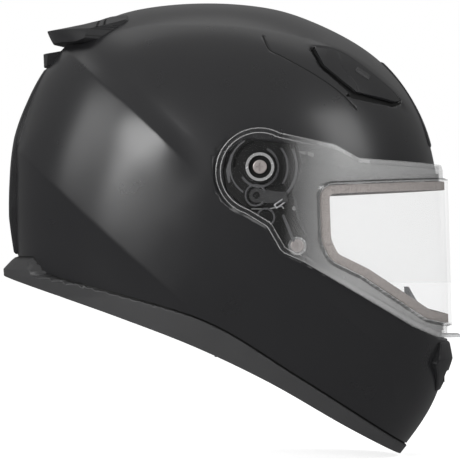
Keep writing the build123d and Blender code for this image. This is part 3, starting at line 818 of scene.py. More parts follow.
def shell_outer(uv):
    p = skin_point(uv)
    cuts = recess(p, (RECESS_SOFT, -RECESS_SOFT), (PLATE_SOFT, -PLATE_SOFT))
    cuts += SLOT_DEPTH * smooth(SLOT_SOFT, -SLOT_SOFT, brow_slot(p))
    cuts += SEAM_DEPTH * smooth(0, -SEAM_HALF, fairing_seam(p))
    return p + skin_normal(uv) * (creases(p) - cuts)[:, None]


def shell_inner(uv):
    p = skin_point(uv)
    edge = (SHELL_WALL + 2, SHELL_WALL - 2)
    return p - skin_normal(uv) * (SHELL_WALL - LINING_GAP + recess(p, edge, edge))[:, None]


def beside(p, line, reach=8.0):
    """Which points lie along a line, not beyond its ends."""
    off, share = line_distance(side(p), line)
    return (np.abs(off) < reach) & (share > -0.04) & (share < 1.04)


def make_shell():
    rows = even_rows(CROWN_START, LAST, SHELL_CELL)
    surface = Surface(skin_point, rows, np.linspace(0, math.pi, SHELL_COLUMNS))
    surface.cap()
    surface.cut(seam_field, keep=-1)
    surface.cut(lambda p: window_field(p) + PORT_MARGIN, keep=1)
    surface.cut_at(lambda p: visor_field(p) - RECESS_GAP, RECESS_SOFT, -RECESS_SOFT)
    surface.cut_at(plate_field, PLATE_SOFT, -PLATE_SOFT)
    for line in (UPPER_RIDGE, LOWER_RIDGE, BAND_EDGE, BROW_CREST, BROW_REAR_LINE, BROW_LOWER_LINE):
        surface.cut(off_line(line), near=lambda p: beside(p, line))
    surface.cut_at(brow_slot, SLOT_SOFT, -SLOT_SOFT)
    surface.cut(off_line(FAIRING_SEAM), near=lambda p: beside(p, FAIRING_SEAM))
    surface.cut_at(fairing_seam, 0, SEAM_FLOOR - SEAM_HALF)
    surface.cut(lambda p: np.where(p[:, 0] > 0, outline_distance(ahead(p), CHIN_SLOT), 20), keep=1)
    shell = sheet_object("helmet_shell", surface, shell_outer, shell_inner, PAINT)
    # painted shade: the brow slot and the fairing seam are coloured near-black as their shadow
    paint_faces(shell, lambda p: np.minimum(brow_slot(p), fairing_seam(p) + 0.1), GROOVE_SHADE)
    attach(shell, "helmet", "shell_paint", "shell")


# ---- pieces laid on a surface -----------------------------------------------------------------
TRIALS, TRIAL_MARGIN = 260, 4.0


def grid_over(point, field, rows, columns, spacing):
    """Even cells of a surface function over the part where field is negative, cut to it."""
    trial_s, trial_a = np.linspace(*rows, TRIALS), np.linspace(*columns, TRIALS)
    uv = np.stack(np.meshgrid(trial_s, trial_a, indexing="ij"), -1)
    points = point(uv.reshape(-1, 2)).reshape(TRIALS, TRIALS, 3)
    near = (field(points.reshape(-1, 3)) < TRIAL_MARGIN).reshape(TRIALS, TRIALS)
    first, last = [], []
    for axis in (1, 0):
        used = np.where(near.any(axis))[0]
        first.append(max(used[0] - 1, 0))
        last.append(min(used[-1] + 1, TRIALS - 1))
    box = points[first[0]:last[0] + 1, first[1]:last[1] + 1]
    down = np.linalg.norm(np.diff(box, axis=0), axis=2).sum(0).max()
    round_ = np.linalg.norm(np.diff(box, axis=1), axis=2).sum(1).max()
    surface = Surface(
        point,
        np.linspace(trial_s[first[0]], trial_s[last[0]], int(down / spacing) + 2),
        np.linspace(trial_a[first[1]], trial_a[last[1]], int(round_ / spacing) + 2),
    )
    return surface.cut(field, keep=-1)


SKIN_ROWS, SKIN_COLUMNS = (0.05, LAST), (0.0, math.pi)


def on_skin(field, spacing, point=skin_point):
    return grid_over(point, field, SKIN_ROWS, SKIN_COLUMNS, spacing)


def raised(height):
    """Surface function: the skin lifted by a height that depends on the place."""
    def function(uv):
        p = skin_point(uv)
        return p + skin_normal(uv) * height(p)[:, None]
    return function


def inset_skin(depth):
    return raised(lambda p: np.full(len(p), -float(depth)))


def attach(obj, body, slot, *replaced):
    """Let a piece ride on a body and stand for CAD nodes; its slot is not used."""
    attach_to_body(obj, body)
    if replaced:
        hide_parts(*replaced)


def both_objects(name, surface, outer, inner, material, slot, replaced=None, body="helmet"):
    """The same sheet on the left and right, each standing for its own node, if any."""
    points, faces, normals, _ = sheet(surface, outer, inner, whole=True)
    for suffix, turn in (("left", 1), ("right", -1)):
        across = np.array([1, turn, 1])
        turned = [face[::turn] for face in faces]
        obj = make_object(f"{name}_{suffix}", points * across, turned, normals * across, material)
        nodes_ = [f"{replaced}_{suffix}"] if replaced else []
        attach(obj, body if body == "helmet" else f"{body}_{suffix}", slot, *nodes_)


def centre_piece(name, surface, outer, inner, material, slot, node):
    obj = sheet_object(name, surface, outer, inner, material)
    attach(obj, "helmet", slot, node)
    return obj


def paint_faces(obj, field, material):
    """Give the faces whose middles have a negative field another material."""
    mesh = obj.data
    centres = np.zeros(len(mesh.polygons) * 3)
    mesh.polygons.foreach_get("center", centres)
    inside = field(centres.reshape(-1, 3) / MM) < 0
    mesh.materials.append(material)
    indices = np.zeros(len(mesh.polygons), int)
    mesh.polygons.foreach_get("material_index", indices)
    indices[inside] = len(mesh.materials) - 1
    mesh.polygons.foreach_set("material_index", indices)


def rearward(uv):
    """Share of the way back, from 0 on the front half to 1 at the rear."""
    return np.abs(np.minimum(np.cos(uv[:, 1]), 0)) ** (2 / REAR_FULLNESS)


def flared(heights, flares):
    """Surface function: the skin pushed back by a flare that depends on height."""
    def function(uv):
        p = skin_point(uv)
        p[:, 0] -= np.interp(p[:, 2], heights, flares) * rearward(uv)
        return p
    return function


# ---- neck trim ---------------------------------------------------------------------------------
TRIM_PROUD, TRIM_DEPTH = 1.2, 14.0
SEAM_LINE, SEAM_SOFT, SEAM_SUNK = 1.3, 0.4, 0.9
LIP_HEIGHTS, LIP_FLARES = [-32, -19, -14, -4], [1.0, 11.5, 11.2, 0.5]


def trim_outer(uv):
    p = skin_point(uv)
    flare = np.interp(p[:, 2], LIP_HEIGHTS, LIP_FLARES) * rearward(uv)
    edge = seam_field(p)
    lift = TRIM_PROUD - (TRIM_PROUD + SEAM_SUNK) * smooth(SEAM_LINE, SEAM_LINE - SEAM_SOFT, edge)
    p += skin_normal(uv) * lift[:, None]
    p[:, 0] -= np.maximum(flare - 0.8, 0) * smooth(0, 0.8, edge)
    return p


def make_trim():
    surface = Surface(trim_outer, even_rows(6.5, LAST, 2.2), np.linspace(0, math.pi, 220))
    surface.cut(lambda p: -seam_field(p), keep=-1)
    surface.cut(lambda p: -outline_distance(side(p), BELOW_RIM, far=60.0), keep=-1)
    surface.cut_at(seam_field, SEAM_LINE, SEAM_LINE - SEAM_SOFT)
    for height in LIP_HEIGHTS[1:3]:
        surface.cut(lambda p: np.where(p[:, 0] < 0, p[:, 2] - height, 1.0))
    trim = centre_piece("neck_trim_edge", surface, trim_outer, inset_skin(TRIM_DEPTH), TRIM,
                        "trim_plastic", "neck_trim")
    # painted shade: the sunk groove along the seam is coloured near-black as its shadow line
    paint_faces(trim, lambda p: seam_field(p) - SEAM_LINE, GROOVE_SHADE)


# ---- visor -------------------------------------------------------------------------------------
VISOR_TOP_ROW = 100.0
VISOR_ROWS, VISOR_COLUMNS = (0.0, 190.0), (0.0, 2.5)
ARM_RUN = 60.0
BEVEL_BAND, BEVEL_DROP, EDGE_BAND, LINE_HALF = 3.4, 1.1, 0.6, 0.3
# the window's step outward, between these distances from its outline on the outer and inner face
WINDOW_STEP, WINDOW_BACK_STEP = (0.4, -0.8), (-1.7, -2.7)
PANE_MARGIN, GASKET_WIDTH = 2.3, 5.9


def visor_layer(inset):
    """Surface function of a sheet inside the visor's outer face; s runs down from its top row."""
    def function(uv):
        z, t = VISOR_TOP_ROW - uv[:, 0], uv[:, 1]
        reach = VISOR_FRONT + (PIVOT[1] - z) * VISOR_RAKE - VISOR_BOW_START - inset
        bow = np.minimum(t, math.pi / 2)
        power = 2 / VISOR_FULLNESS
        x = VISOR_BOW_START + reach * np.abs(np.cos(bow)) ** power - (t - bow) * ARM_RUN
        y = (VISOR_HALF - inset) * signed_power(np.sin(bow), power)
        return np.stack([x, y, z], 1)
    return function


visor_skin = visor_layer(0.0)


def visor_lifted(lift):
    def function(uv):
        p = visor_skin(uv)
        return p + normals_of(visor_skin, uv) * lift(p)[:, None]
    return function


def visor_outer_lift(p):
    bevel = BEVEL_DROP * np.clip(1 + visor_field(p) / BEVEL_BAND, 0, 1)
    return WINDOW_PROUD * smooth(*WINDOW_STEP, window_field(p)) - bevel


def visor_inner_lift(p):
    return WINDOW_PROUD * smooth(*WINDOW_BACK_STEP, window_field(p)) - VISOR_WALL


visor_outer, visor_inner = visor_lifted(visor_outer_lift), visor_lifted(visor_inner_lift)


def circle_field(centre, radius):
    return lambda p: np.hypot(p[:, 0] - centre[0], p[:, 2] - centre[1]) - radius


def on_visor(field, spacing):
    return grid_over(visor_skin, field, VISOR_ROWS, VISOR_COLUMNS, spacing)


def make_visor():
    surface = on_visor(visor_field, 2.0)
    surface.cut(circle_field(PIVOT, HUB_RADIUS), keep=1)
    surface.cut_at(visor_field, -EDGE_BAND, LINE_HALF - BEVEL_BAND, -BEVEL_BAND - LINE_HALF)
    surface.cut_at(window_field, *WINDOW_STEP, *WINDOW_BACK_STEP)
    # the cut edges of the visor take the painted edge glow
    visor = sheet_object("clear_visor", surface, visor_outer, visor_inner, CLEAR,
                         edge_material=EDGE_GLOW)
    # painted highlight lines along the bevel band and along the outer edge
    bevel_highlight_band = lambda p: np.minimum(-visor_field(p) - EDGE_BAND,
                                      np.abs(visor_field(p) + BEVEL_BAND) - LINE_HALF)
    paint_faces(visor, bevel_highlight_band, BEVEL_HIGHLIGHT)
    paint_faces(visor, lambda p: np.maximum(window_field(p) + 2.2, -p[:, 0]), WINDOW)
    # painted shade along the slope of the window's step
    paint_faces(visor, lambda p: np.abs(window_field(p) + 0.2) - 0.7, RIM_SHADE)
    attach(visor, "visor", "visor_clear", "visor")

    tab_outline = rounded([(160.5, -24), (175.7, -16), (175.7, 16), (160.5, 24)], [0, 5, 5, 0], 8)
    # the finger tab uses the same paler, more opaque clear as the painted edge glow
    tab = slab("visor_finger_tab", tab_outline, -63.0, -60.9, EDGE_GLOW)
    attach(tab, "visor", "visor_clear")

    inside_window = lambda p: window_field(p) + PANE_MARGIN
    ring_zone = on_visor(inside_window, 2.0)
    ring_zone.cut(lambda p: window_field(p) + PANE_MARGIN + GASKET_WIDTH, keep=1)
    gasket = sheet_object("window_gasket", ring_zone, visor_layer(-0.95), visor_layer(1.25), GASKET)
    attach(gasket, "visor", "gasket_foam", "visor_gasket")
    pane = sheet_object("inner_pane", on_visor(inside_window, 3.0), visor_layer(1.3),
                        visor_layer(1.3 + PANE_WALL), PANE)
    attach(pane, "visor", "pane_clear", "visor_inner_pane")


def slab(name, outline, low, high, material, bevel=0.4):
    """Flat level plate from a top-view outline, with small chamfers."""
    middle = outline.mean(0)
    inner = outline + unit(middle - outline) * bevel
    rings = [(inner, low), (outline, low + bevel), (outline, high - bevel), (inner, high)]
    count = len(outline)
    points = [(x, y, z) for ring, z in rings for x, y in ring]
    faces = [tuple(reversed(range(count))), tuple(range(3 * count, 4 * count))]
    for level in range(3):
        for k in range(count):
            a, b = level * count + k, level * count + (k + 1) % count
            faces.append((a, b, b + count, a + count))
    obj = make_object(name, points, faces, None, material)
    obj.data.polygons.foreach_set("use_smooth", np.zeros(len(faces), bool))
    return obj


# ---- base plate details ------------------------------------------------------------------------

def arc_band(centre, radius, width, start, sweep):
    """Outline of a curved rib round a centre."""
    outer = arc(centre, radius + width / 2, start, sweep, 24)
    inner = arc(centre, radius - width / 2, start + sweep, -sweep, 24)
    return np.array(outer + inner)


PLATE_RIBS = [
    arc_band(PIVOT, 13.6, 1.6, -150, 215),
    arc_band(PIVOT, 20.4, 1.3, -35, 75),
    arc_band(PIVOT, 26.8, 1.6, -42, 70),
    arc_band(PIVOT, 20.6, 1.2, 118, 120),
    arc_band((28.9, 37.7), 7.2, 1.1, 20, 300),
    arc_band((36.2, 22.5), 6.0, 1.2, -60, 230),
    rounded([(47.5, 24.0), (49.2, 24.6), (57.0, 6.0), (55.2, 5.4)], 0.4),
    rounded([(9.5, 46), (8.0, 55), (11.5, 66.5), (13.2, 65.8), (10.0, 55), (11.2, 46.6)], 0.4),
]
PLATE_TABS = [
    rounded([(60.5, 68.2), (64.3, 68.2), (64.3, 65.4), (60.5, 65.4)], 0.4),
    rounded([(66.0, 68.0), (70.2, 67.6), (70.2, 63.4), (66.0, 63.8)], 0.4),
    rounded([(55.0, 30.2), (58.4, 30.2), (58.4, 27.2), (55.0, 27.2)], 0.4),
    rounded([(60.0, 30.4), (64.4, 30.0), (64.4, 25.8), (60.0, 26.2)], 0.4),
]
LATCH_FRAME = [
    rounded([(41.8, 31.2), (49.6, 36.6), (51.4, 33.6), (43.6, 28.2)], 0.6),
    rounded([(42.9, 31.0), (49.2, 35.3), (50.3, 33.7), (44.0, 29.4)], 0.4),
]


def make_plate_details():
    """Ribs, a latch window and snap tabs moulded on the outer face of the base plate."""
    hub = circle_field(PIVOT, HUB_RADIUS + 0.35)
    ribs, tabs = [any_of([within(line) for line in lines]) for lines in (PLATE_RIBS, PLATE_TABS)]
    frame_outer, frame_inner = [within(line) for line in LATCH_FRAME]
    details = [
        ("plate_ribs", lambda p: np.maximum(ribs(p), -hub(p)), 0.8, -0.4, 1.0, RIB),
        ("lever_window", lambda p: np.maximum(frame_outer(p), -frame_inner(p)), 0.5, -0.6, 1.0, PALE),
        ("plate_tabs", tabs, 0.8, -0.4, 0.6, TAB_GREY),
    ]
    for name, field, spacing, top, foot, material in details:
        both_objects(name, on_visor(field, spacing), visor_layer(PLATE_INSET + top),
                     visor_layer(PLATE_INSET + foot), material, "plate_plastic")


# ---- vents, panels and spoiler -----------------------------------------------------------------
BROW_LINE = rounded(
    [(69.5, 141.2), (76.2, 128.6), (99.4, 109.9), (126, 103.6), (131, 104.5), (108, 124),
     (88, 137.6)], [0.6, 2, 1.5, 1.5, 1, 8, 6],
)
BROW_CREASE = curve_through([(86, 136.9), (88.6, 128.6), (98.2, 114.5), (100, 110)])


def brow_height(p):
    """Highest along the crest, and falling toward the air slots."""
    off, share = line_distance(side(p), BROW_CREST)
    crest = np.abs(off)
    fold = 0.5 * smooth(0.4, -0.4, off_line(BROW_CREASE)(p)) * np.clip(crest / 8, 0, 1)
    rise = BROW_HEIGHT * np.clip(1 - crest / BROW_FALL, 0, 1) - fold
    return 0.3 + rise * faded(share, BROW_ENDS)


def make_brow_vents():
    surface = on_skin(within(BROW_LINE), 1.2)
    surface.cut(off_line(BROW_CREASE))
    both_objects("brow_vent", surface, raised(brow_height), inset_skin(0.5), GLOSS,
                 "vent_plastic", "brow_vent_housing")


SLIDER_LINE = rounded([(99.2, 127.2), (108.8, 120.9), (107.0, 118.1), (97.4, 124.4)], 0.5)
SLIDER_PROUD, SLIDER_BEVEL = 0.8, 0.7


def make_brow_sliders():
    """Low grips that lie on the vents and slide along them."""
    field = within(SLIDER_LINE)
    surface = on_skin(field, 0.8)
    surface.cut_at(field, -SLIDER_BEVEL)

    def height(p):
        return brow_height(p) + SLIDER_PROUD * smooth(0, -SLIDER_BEVEL, field(p)) + 0.15

    both_objects("brow_slider", surface, raised(height), raised(lambda p: brow_height(p) + 0.05),
                 TRIM, "vent_plastic", "brow_vent_slider", "brow_vent_slider")


CHIN_LINE = rounded([(-48, -81), (-40, -66), (40, -66), (48, -81), (26, -101), (-26, -101)], 3)
CHIN_OPENING = rounded([(-21, -94), (21, -94), (24, -86), (-24, -86)], 2)
CHIN_HEIGHTS, CHIN_LIFTS = [-103, -77.5, -62], [0.8, 5.0, 0.4]
CHIN_BEVEL, CHIN_DROP = 1.0, 0.7
FOREHEAD_BEVEL, FOREHEAD_PROUD, FOREHEAD_DROP = 1.2, 1.0, 0.8
PANEL_BEVEL, PANEL_DROP, VENT_SOFT, VENT_DROP = 1.4, 1.1, 0.4, 1.2


def make_chin_vent():
    line, opening = front_only(CHIN_LINE), front_only(CHIN_OPENING)
    surface = on_skin(lambda p: np.maximum(line(p), -opening(p)), 1.2)
    surface.cut_at(lambda p: p[:, 2], CHIN_HEIGHTS[1])
    surface.cut_at(line, -CHIN_BEVEL)

    def height(p):
        full = np.interp(p[:, 2], CHIN_HEIGHTS, CHIN_LIFTS)
        return full - CHIN_DROP * smooth(-CHIN_BEVEL, 0, line(p))

    centre_piece("chin_vent", surface, raised(height), inset_skin(0.5), GLOSS,
                 "vent_plastic", "chin_vent_housing")


FOREHEAD_LINE = rounded([(-24, 73), (24, 73), (17, 112), (15, 134), (-15, 134), (-17, 112)], 3)
PANEL_LINE = rounded([(-24, 129.4), (24, 129.4), (30, 75), (24, 30), (16, -3.5), (-16, -3.5),
                      (-24, 30), (-30, 75)], 2)
PANEL_HEIGHTS, PANEL_FLARES = [-3.6, 23, 49, 80, 105, 129.5], [2.6, 4.3, 3.7, 3.6, 2.2, 1.5]


def make_forehead_panel():
    line = front_only(FOREHEAD_LINE)
    surface = on_skin(line, 1.5)
    surface.cut_at(line, -FOREHEAD_BEVEL)
    height = lambda p: FOREHEAD_PROUD - FOREHEAD_DROP * smooth(-FOREHEAD_BEVEL, 0, line(p))
    centre_piece("brow_panel", surface, raised(height), inset_skin(0.4), GLOSS,
                 "vent_plastic", "forehead_panel")


def make_rear_panel():
    line = front_only(PANEL_LINE, -1)
    form = flared(PANEL_HEIGHTS, PANEL_FLARES)
    vents = [rounded([(y - 5, 112), (y + 5, 112), (y + 3, 84), (y - 3, 84)], 2.5)
             for y in (-13.5, 13.5)]
    slots = any_of([front_only(vent, -1) for vent in vents])

    def outer(uv):
        p = form(uv)
        p[:, 0] += PANEL_DROP * smooth(-PANEL_BEVEL, 0, line(p))
        p[:, 0] += VENT_DROP * smooth(VENT_SOFT, -VENT_SOFT, slots(p))
        return p

    surface = on_skin(line, 1.6, form)
    surface.cut_at(line, -PANEL_BEVEL)
    surface.cut_at(slots, VENT_SOFT, -VENT_SOFT)
    panel = centre_piece("exhaust_panel", surface, outer, inset_skin(0.4), GLOSS,
                         "vent_plastic", "rear_exhaust_panel")
    # painted shade: the sunk vents are coloured near-black as the shadow in them
    paint_faces(panel, slots, GROOVE_SHADE)


WING_LINE = rounded([(-62, -50), (-62, 50), (-100, 58), (-130, 44), (-130, -44), (-100, -58)], 4)
WING_HEIGHTS = [144.8, 146.5, 155.4, 156.9, 160, 163, 165.4]
WING_FLARES = [1, 10.5, 26.2, 20, 9.4, 2.6, 0.4]
WING_UNDERSIDE = np.array([(-140, 142), (-105, 143.6), (-84, 151.5), (-60, 161)], float)
WING_GROOVES = [np.array([(-82.0, 163.4), (-84.4, 150.6)]), np.array([(-77.3, 165.4), (-79.2, 150.6)])]
GROOVE_HALF, GROOVE_EDGE = 0.6, (0.05, -0.25)


def make_spoiler():
    form = flared(WING_HEIGHTS, WING_FLARES)
    top_view = lambda p: outline_distance(p[:, [0, 1]], WING_LINE)
    band = lambda p: np.maximum(p[:, 2] - WING_HEIGHTS[-1], WING_HEIGHTS[0] - p[:, 2])
    under = lambda p: -off_line(WING_UNDERSIDE)(p)
    zone = lambda p: np.where(p[:, 0] < 0, np.max([top_view(p), band(p), under(p)], 0), 30.0)
    groove_lines = any_of([lambda p, line=line: np.abs(off_line(line)(p)) for line in WING_GROOVES])
    grooves = lambda p: groove_lines(p) - GROOVE_HALF

    def outer(uv):
        low = smooth(*GROOVE_EDGE, grooves(form(uv)))[:, None]
        floor = skin_point(uv) + skin_normal(uv) * 0.12
        lifted = form(uv) + skin_normal(uv) * 0.8
        return lifted * (1 - low) + floor * low

    surface = on_skin(zone, 1.1, form)
    surface.cut_at(lambda p: p[:, 2], *WING_HEIGHTS[1:-1])
    surface.cut_at(grooves, *GROOVE_EDGE)
    wing = centre_piece("spoiler_wing", surface, outer, inset_skin(0.5), GLOSS,
                        "vent_plastic", "rear_spoiler")
    # painted shade: the wing's grooves are coloured near-black as the shadow in them
    paint_faces(wing, lambda p: np.maximum(grooves(p) + 0.1, p[:, 0]), GROOVE_SHADE)


# ---- padding -----------------------------------------------------------------------------------
PAD_BACK, PAD_EDGE = 33.6, 1.0
PAD_ROLL, SEAM_PULL, SEAM_REACH = 9.0, 0.45, 2.4
HELD_DEPTH, HELD_BESIDE_SEAM = 2.5, 2.2
CROWN_ZONE = np.array([(-150, 6), (52, 6), (63, 18), (66, 43.5), (150, 43.5), (150, 200),
                       (-150, 200)], float)
CHEEK_ZONE = rounded([(-22, 3), (48, 3), (62, -8), (98, -31), (96, -62), (74, -92), (44, -72),
                      (-4, -54), (-22, -42)], 6)
ROLL_ZONE = np.array([(-150, 2), (-26, 2), (-26, -44), (-70, -38), (-108, -24), (-150, -16)], float)
# metres
PAD_CELL, CLOTH_REACH = 0.0035, 0.004
CLOTH_FRAMES, CLOTH_PRESSURE = 20, 4.0


def pad_front(zone, thickness, seams):
    """Inner face of a pad: full in the middle, pulled in at its edges and along its seams."""
    def height(p):
        edge = np.clip(-zone(p) / PAD_ROLL, 0, 1)
        full = np.sqrt(np.maximum(1 - (1 - edge) ** 2, 0))
        pull = np.ones(len(p))
        for seam in seams:
            pull *= 1 - SEAM_PULL * np.exp(-((seam(p) / SEAM_REACH) ** 2))
        return -(PAD_BACK + PAD_EDGE + (thickness - PAD_EDGE) * full * pull)
    return raised(height)


def make_pad(name, zone, thickness, seams, node, spacing, whole=False, cap=False):
    back = inset_skin(PAD_BACK)
    if cap:
        surface = Surface(back, even_rows(0.25, 8.6, spacing), np.linspace(0, math.pi, 90))
        surface.cap()
        surface.cut(zone, keep=-1)
    else:
        surface = on_skin(zone, spacing, back)
    front = pad_front(zone, thickness, seams)
    obj = sheet_object(name, surface, back, front, LINING, whole=whole)
    edit_mesh(obj.data, weld_outward)
    soften(obj, seams)
    attach(obj, "helmet", "lining_fabric", node)
    return obj


def edit_mesh(mesh, change):
    form = bmesh.new()
    form.from_mesh(mesh)
    change(form)
    form.to_mesh(mesh)
    form.free()


def weld_outward(form):
    """Weld the layers of a pad into one closed mesh with its faces outward."""
    bmesh.ops.remove_doubles(form, verts=form.verts, dist=0.0002)
    bmesh.ops.recalc_face_normals(form, faces=form.faces)


def flip_across(form):
    """Mirror a mesh across the mid-plane."""
    bmesh.ops.scale(form, vec=(1, -1, 1), verts=form.verts)
    bmesh.ops.reverse_faces(form, faces=form.faces)


def applied(obj, kind, **settings):
    """Replace an object's mesh by what a modifier makes of it."""
    modifier = obj.modifiers.new(kind.lower(), kind)
    for name, value in settings.items():
        setattr(modifier, name, value)
    mesh = bpy.data.meshes.new_from_object(obj.evaluated_get(bpy.context.evaluated_depsgraph_get()))
    old = obj.data
    obj.modifiers.clear()
    obj.data = mesh
    bpy.data.meshes.remove(old)


def soften(obj, seams):
    """Remesh a pad evenly, blow it up as cloth with its seams held, and smooth it."""
    applied(obj, "REMESH", mode="VOXEL", voxel_size=PAD_CELL)
    applied(obj, "SMOOTH", factor=0.5, iterations=3)
    blow_up(obj, seams)
    applied(obj, "SMOOTH", factor=0.5, iterations=2)
    applied(obj, "SUBSURF", levels=1, render_levels=1)
    obj.data.materials.clear()
    obj.data.materials.append(LINING)
    obj.data.polygons.foreach_set("use_smooth", np.ones(len(obj.data.polygons), bool))


def blow_up(obj, seams):
    """Let cloth under pressure fill the pad, held near the foam and along its seams."""
    rest = vertex_points(obj)
    held = depth_below_skin(rest / MM) < PAD_BACK + HELD_DEPTH
    for seam in seams:
        held |= np.abs(seam(rest / MM)) < HELD_BESIDE_SEAM
    obj.vertex_groups.new(name="held").add(np.where(held)[0].tolist(), 1.0, "REPLACE")
    settings = obj.modifiers.new("cloth", "CLOTH").settings
    settings.vertex_group_mass = "held"
    settings.use_pressure = True
    settings.uniform_pressure_force = CLOTH_PRESSURE
    settings.effector_weights.gravity = 0
    settings.quality = 5
    settings.mass = 0.3
    settings.tension_stiffness = settings.compression_stiffness = 12
    for frame_number in range(1, CLOTH_FRAMES + 1):
        scene.frame_set(frame_number)
    moved = vertex_points(obj.evaluated_get(bpy.context.evaluated_depsgraph_get())) - rest
    length = np.linalg.norm(moved, axis=1, keepdims=True)
    moved *= np.minimum(1, CLOTH_REACH / np.maximum(length, 1e-9))
    obj.modifiers.clear()
    scene.frame_set(1)
    obj.data.vertices.foreach_set("co", (rest + moved).ravel())
    obj.data.update()


def vertex_points(obj):
    points = np.zeros(len(obj.data.vertices) * 3)
    obj.data.vertices.foreach_get("co", points)
    return points.reshape(-1, 3)


def depth_below_skin(points):
    """Rough depth of points below the helmet's outer surface, by scaling about its middle."""
    rows = np.linspace(0.05, LAST, 160)
    columns = np.linspace(0, 2 * math.pi, 200)
    uv = np.stack(np.meshgrid(rows, columns, indexing="ij"), -1).reshape(-1, 2)
    skin = skin_point(uv)
    tree = KDTree(len(skin))
    for k, place in enumerate(skin):
        tree.insert(place, k)
    tree.balance()
    return np.array([tree.find(p)[2] for p in points])


def make_padding():
    along = lambda level: (lambda p: np.where(p[:, 2] > 20, np.abs(p[:, 1]) - level, 40.0))
    across = lambda x0: (lambda p: np.where(np.abs(p[:, 1]) < 34, p[:, 0] - x0, 40.0))
    make_pad("crown_padding", within(CROWN_ZONE, 40.0), 8.0, [along(34), across(-40), across(34)],
             "crown_liner", 4.0, cap=True)
    make_pad("neck_roll_padding", within(ROLL_ZONE, 40.0), 11.5, [lambda p: p[:, 2] + 12.0],
             "neck_roll", 3.5)
    seam_line = curve_through([(-30, -22), (10, -24), (50, -30), (90, -50), (100, -56)])
    left = make_pad("cheek_padding_left", within(CHEEK_ZONE), 16.0, [off_line(seam_line)],
                    "cheek_pad_left", 3.5, whole=True)
    right = left.copy()
    right.name = "cheek_padding_right"
    right.data = left.data.copy()
    right.parent = None
    for key in list(right.keys()):
        del right[key]
    edit_mesh(right.data, flip_across)
    scene.collection.objects.link(right)
    attach(right, "helmet", "lining_fabric", "cheek_pad_right")


# ---- CAD pieces that are shown as they are -------------------------------------------------------
SLOT_MATERIALS = {
    "shell_paint": PAINT, "trim_plastic": TRIM, "seal_rubber": RUBBER, "foam": FOAM,
    "lining_fabric": LINING, "vent_plastic": GLOSS, "mesh_plastic": TRIM, "guard_rubber": GUARD,
    "visor_clear": CLEAR, "pane_clear": PANE, "gasket_foam": GASKET, "plate_plastic": PLATE,
    "lever_plastic": LEVER, "ring_metal": CHROME, "screw_steel": STEEL, "anchor_steel": PLAIN_STEEL,
    "spring_steel": PLAIN_STEEL, "insert_brass": BRASS, "webbing": WEBBING, "snap_plastic": TRIM,
}


def finish_nodes():
    """Give every CAD node that is still shown the material of its slot."""
    for part in frame["record"]["subparts"]:
        mesh = nodes[part["node"]].data
        mesh.materials.clear()
        mesh.materials.append(SLOT_MATERIALS[part["material_slot"]])


make_shell()
make_trim()
make_visor()
make_plate_details()
make_brow_vents()
make_brow_sliders()
make_chin_vent()
make_forehead_panel()
make_rear_panel()
make_spoiler()
make_padding()
finish_nodes()

# ---- camera, floor and lights ----------------------------------------------------------------
VIEW_CENTRE = Vector((0.0108, 0, 0.0137))
VIEW_WIDTH = 0.331
LENS, SENSOR = 300.0, 36.0
STUDIO_LEVEL, STUDIO_TOP = 0.13, 0.5
# name, place, target, width and height, watts
SOFTBOXES = [
    ("top_softbox", (0.0, 0.5, 1.7), (0, 0, 0.1), (1.8, 0.8), 3),
    ("rear_softbox", (-0.98, -1.6, 0.52), (-0.05, 0, 0.05), (1.0, 0.75), 21),
    ("back_softbox", (-1.65, -0.75, 0.75), (-0.05, 0, 0.05), (0.8, 0.9), 6),
    ("front_softbox", (1.5, -0.9, 0.9), (0.05, 0, 0.05), (0.8, 0.8), 7),
]


def area_light(name, place, target, size, power):
    data = bpy.data.lights.new(name, "AREA")
    data.shape = "RECTANGLE"
    data.size, data.size_y = size
    data.energy = power
    light = bpy.data.objects.new(name, data)
    light.location = place
    light.rotation_euler = (Vector(target) - Vector(place)).to_track_quat("-Z", "Y").to_euler()
    scene.collection.objects.link(light)


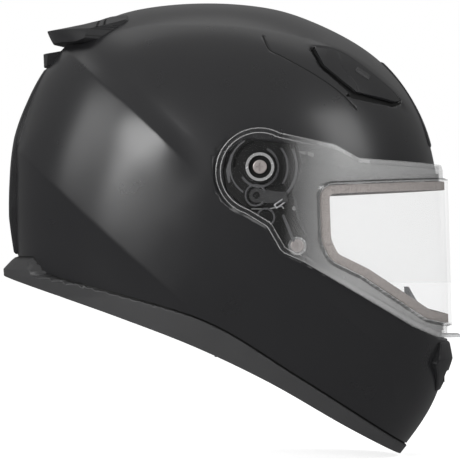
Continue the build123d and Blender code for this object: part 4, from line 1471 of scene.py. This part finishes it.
def studio_world():
    """White behind the object, and a dim studio that is brighter above for what it reflects."""
    world = bpy.data.worlds.new("studio")
    world.use_nodes = True
    sky = Nodes(world.node_tree)
    split = sky.node("ShaderNodeSeparateXYZ")
    sky.link(sky.node("ShaderNodeTexCoord").outputs["Generated"], split.inputs[0])
    rays = sky.node("ShaderNodeLightPath")
    mix = sky.node("ShaderNodeMix", data_type="RGBA")
    mix.inputs[7].default_value = (1, 1, 1, 1)
    sky.link(rays.outputs["Is Camera Ray"], mix.inputs["Factor"])
    sky.link(sky.ramp(split.outputs["Z"], STUDIO_LEVEL, STUDIO_TOP, 0.0, 1.0), mix.inputs[6])
    sky.link(mix.outputs[2], sky.tree.nodes["Background"].inputs["Color"])
    return world


def floor_material():
    """Pale and softly lit from above; from below the floor is left out of the picture."""
    s = Shader("pale_floor", (0.92, 0.92, 0.92), 0.9, Emission_Strength=0.74)
    s.main.inputs["Emission Color"].default_value = (1, 1, 1, 1)
    clear_side = s.node("ShaderNodeBsdfTransparent")
    mix = s.node("ShaderNodeMixShader")
    s.link(s.node("ShaderNodeNewGeometry").outputs["Backfacing"], mix.inputs[0])
    s.link(s.main.outputs[0], mix.inputs[1])
    s.link(clear_side.outputs[0], mix.inputs[2])
    s.link(mix.outputs[0], s.tree.nodes["Material Output"].inputs["Surface"])
    return s.material


camera_data = bpy.data.cameras.new("camera")
camera_data.lens, camera_data.sensor_width = LENS, SENSOR
camera = bpy.data.objects.new("camera", camera_data)
camera.location = VIEW_CENTRE + Vector((0, -VIEW_WIDTH * LENS / SENSOR, 0))
camera.rotation_euler = (math.pi / 2, 0, 0)
camera_data.clip_end = 50
scene.collection.objects.link(camera)
scene.camera = camera

scene.world = studio_world()
for softbox in SOFTBOXES:
    area_light(*softbox)

floor_corners = [(-6000, -4000, 0), (6000, -4000, 0), (6000, 9000, 0), (-6000, 9000, 0)]
floor = make_object("floor", floor_corners, [(0, 1, 2, 3)], None, floor_material())
floor.location.z = cad_box[0].z - 0.0005
floor.visible_glossy = False
scene.view_settings.view_transform = "Standard"
scene.cycles.transparent_max_bounces = 32
scene.cycles.use_denoising = True
